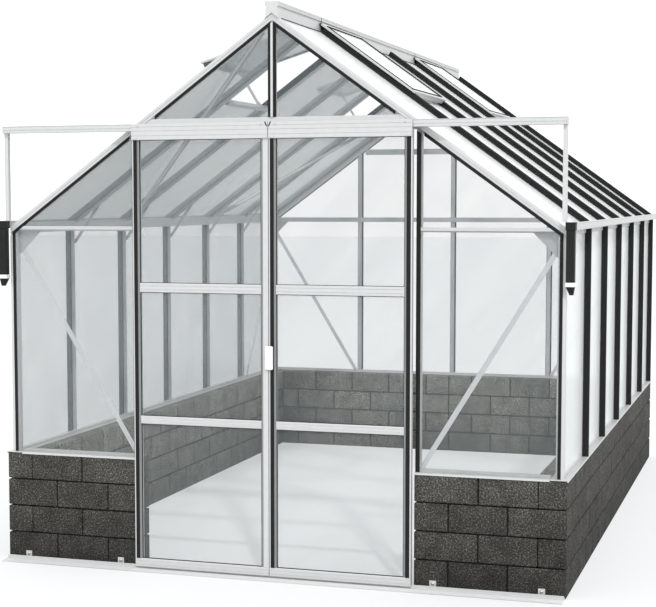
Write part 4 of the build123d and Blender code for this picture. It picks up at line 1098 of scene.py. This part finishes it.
class GREENHOUSE_OT_seals(bpy.types.Operator):
    """Builds the black strips over the edges of the gable glass, with rounded faces and slanting ends."""

    bl_idname = "greenhouse.seals"
    bl_label = "Gable strips"

    def execute(self, context):
        rib, corner = RIB / 2, HALF - CORNER_LIP
        head_top = under(DOOR_EDGE, FRAME_D) + LINTEL
        head_end = HALF - (head_top - EAVES + (VERGE_LIP + STRIP) / OUT_SLOPE[2]) / RISE
        parts = [sloping_strip(rib, head_end, FRONT, -Y),
                 sloping_strip(DOOR_EDGE + 0.033, corner, FRONT, -Y),
                 upright_strip(DOOR_EDGE + 0.0005, 1, SILL_FLAT, FRONT, -Y, JAMB_STRIP),
                 upright_strip(corner, -1, SILL_FLAT, FRONT, -Y),
                 upright_strip(rib, 1, head_top, FRONT, -Y)]
        for near, far in ((rib, BAY - rib), (BAY + rib, corner)):
            parts += [sloping_strip(near, far, BACK, Y), upright_strip(near, 1, SILL_FLAT, BACK, Y),
                      upright_strip(far, -1, SILL_FLAT, BACK, Y)]
        nodes = ("gable_seals_front", "gable_seals_back")
        add_mesh("gable_strips", both(*parts), "rubber", "black_seals", nodes)
        return {"FINISHED"}


class GREENHOUSE_OT_trims(bpy.types.Operator):
    """Builds the small parts: transom faces, ridge ticks, hinge strips, a strip along the ridge's foot and
    the hooks of the leaves; the black strips under the ridge also paint its shade.
    """

    bl_idname = "greenhouse.trims"
    bl_label = "Trims"

    def execute(self, context):
        low_rail = under(HALF - FRAME_D, FRAME_D) + TRANSOM_BACK
        rail = np.array([(0, 0), (0, -0.0004), (0.0040, -0.0022), (0.0050, -0.0008), (0.0098, -0.0008),
                         (0.0106, -0.0020), (0.0145, -0.0020), (0.015, -0.0016), (0.015, 0)])
        outer = HALF - CORNER_LIP - STRIP
        slants = np.minimum(0.0, -(low_rail + rail[:, 0] - under(outer, VERGE_LIP + STRIP)) / RISE)
        transom = bars(rail, (JAMB_LIP, FRONT, low_rail), (outer, FRONT, low_rail), Z, Y, 0.0, slants)
        add_mesh("transom_faces", both(transom), "aluminium", "frame")
        parts = []
        for y in BARS[[0, 3]] + 0.006:
            parts += [boxes((0.0305, y - 0.0016, APEX + 0.004), (0.0322, y + 0.0016, APEX + 0.044), 0.0004),
                      boxes((0.0295, y - 0.005, APEX + 0.016), (0.0330, y + 0.005, APEX + 0.021), 0.0006)]
        # Black hinge strips under the ridge: partly hinge parts, partly painted shade of the gap under the
        # ridge
        strip, up = [(0, 0), (0.012, 0), (0.010, 0.020), (0.002, 0.024)], ROOF_CAP_TOP - 0.002
        for bay in VENT_BAYS:
            ends = [on_roof(FRONT + (bay + share) * BAY, up, 0.004) for share in (0.03, 0.97)]
            parts.append(bars(strip, *ends, UP_SLOPE, OUT_SLOPE))
        # A black strip along the ridge's foot: partly a seal, partly painted shade of the ridge's lower
        # flange
        foot = APEX - RIDGE_FOOT * RISE
        parts.append(bars([(0.030, -0.004), (0.0345, -0.004), (0.0345, 0.003), (0.030, 0.003)],
                          (0, FRONT + FRAME_D, foot), (0, BACK - FRAME_D, foot), X, Z))
        add_mesh("ridge_trims", both(*parts), "rubber", "black_seals")
        y, top = LEAF_LOW[1] + 0.0005, FASCIA_HIGH
        hook = straps((0.0042, y, top - 0.020), (0.0135, y, top + 0.001), -Y, 0.005, 0.0012)
        add_mesh("door_right_hook", hook, "rubber", "black_seals", body="door_right")
        add_mesh("door_left_hook", mirrored(hook), "rubber", "black_seals", body="door_left")
        return {"FINISHED"}


class GREENHOUSE_OT_stage(bpy.types.Operator):
    """Sets the camera, the pale floor and the soft lights."""

    bl_idname = "greenhouse.stage"
    bl_label = "Stage"

    def execute(self, context):
        scene = context.scene
        focal, centre_u, centre_v = 1587.4, 272.47, 324.13
        width, height, sensor = 656.0, 607.0, 36.0
        yaw, pitch, roll = 0.3202, -0.0785, 0.0021
        ahead = np.array([-np.sin(yaw) * np.cos(pitch), np.cos(yaw) * np.cos(pitch), np.sin(pitch)])
        right = np.array([np.cos(yaw), np.sin(yaw), 0.0])
        down = np.cross(ahead, right)
        right, down = np.cos(roll) * right + np.sin(roll) * down, np.cos(roll) * down - np.sin(roll) * right
        camera = add_object("camera", bpy.data.cameras.new("camera"))
        place = Matrix(np.column_stack([right, -down, -ahead]).tolist()).to_4x4()
        place.translation = Vector((2.1914, FRONT - 6.6101, 1.6739))
        camera.matrix_world = place
        camera.data.sensor_fit = "HORIZONTAL"
        camera.data.sensor_width = sensor
        camera.data.lens = focal * sensor / width
        camera.data.shift_x = (width / 2 - centre_u) / width
        camera.data.shift_y = (centre_v - height / 2) / width
        scene.camera = camera

        material, tree, shader = base_material("Pale floor")
        feed(tree, shader, Base_Color=(0.40, 0.405, 0.41, 1), Roughness=0.9, Specular_IOR_Level=0.0,
             Emission_Color=(0.97, 0.99, 1.0, 1), Emission_Strength=0.40)
        reach = 60.0
        corners = [(-reach, -reach, 0), (reach, -reach, 0), (reach, reach, 0), (-reach, reach, 0)]
        mesh = bpy.data.meshes.new("floor")
        mesh.from_pydata(corners, [], [(0, 1, 2, 3)])
        mesh.materials.append(material)
        floor = add_object("floor", mesh)

        world = bpy.data.worlds.new("studio")
        scene.world = world
        world.use_nodes = True
        feed(world.node_tree, world.node_tree.nodes["Background"], Color=(1.0, 1.0, 1.0, 1), Strength=1.22)
        sun = add_object("key", bpy.data.lights.new("key", "SUN"))
        sun.data.energy = 2.3
        sun.data.angle = 0.06
        sun.rotation_euler = (np.radians(46), 0, np.radians(25))
        scene.view_settings.view_transform = "Standard"
        return {"FINISHED"}


class GREENHOUSE_PT_panel(bpy.types.Panel):
    """Lists the sizes, the colours and the pieces."""

    bl_idname = "GREENHOUSE_PT_panel"
    bl_label = "Glass greenhouse"
    bl_space_type = "VIEW_3D"
    bl_region_type = "UI"
    bl_category = "Greenhouse"

    def draw(self, context):
        for group in (context.scene.greenhouse_sizes, context.scene.greenhouse_colours):
            box = self.layout.box()
            for key in group.__annotations__:
                box.prop(group, key)
        for operator in OPERATORS:
            self.layout.operator(operator.bl_idname)


OPERATORS = (
    GREENHOUSE_OT_finishes,
    GREENHOUSE_OT_block_wall,
    GREENHOUSE_OT_slim_bars,
    GREENHOUSE_OT_caps,
    GREENHOUSE_OT_ridge,
    GREENHOUSE_OT_verges,
    GREENHOUSE_OT_vents,
    GREENHOUSE_OT_gutters,
    GREENHOUSE_OT_downpipes,
    GREENHOUSE_OT_track,
    GREENHOUSE_OT_doors,
    GREENHOUSE_OT_handle,
    GREENHOUSE_OT_braces,
    GREENHOUSE_OT_threshold,
    GREENHOUSE_OT_seals,
    GREENHOUSE_OT_trims,
    GREENHOUSE_OT_stage,
)
CLASSES = (GreenhouseSizes, GreenhouseColours, *OPERATORS, GREENHOUSE_PT_panel)


def register():
    for cls in CLASSES:
        bpy.utils.register_class(cls)
    bpy.types.Scene.greenhouse_sizes = bpy.props.PointerProperty(type=GreenhouseSizes)
    bpy.types.Scene.greenhouse_colours = bpy.props.PointerProperty(type=GreenhouseColours)


def unregister():
    del bpy.types.Scene.greenhouse_sizes
    del bpy.types.Scene.greenhouse_colours
    for cls in reversed(CLASSES):
        bpy.utils.unregister_class(cls)


def main():
    register()
    for operator in OPERATORS:
        group, name = operator.bl_idname.split(".")
        getattr(getattr(bpy.ops, group), name)()


if __name__ == "__main__":
    main()
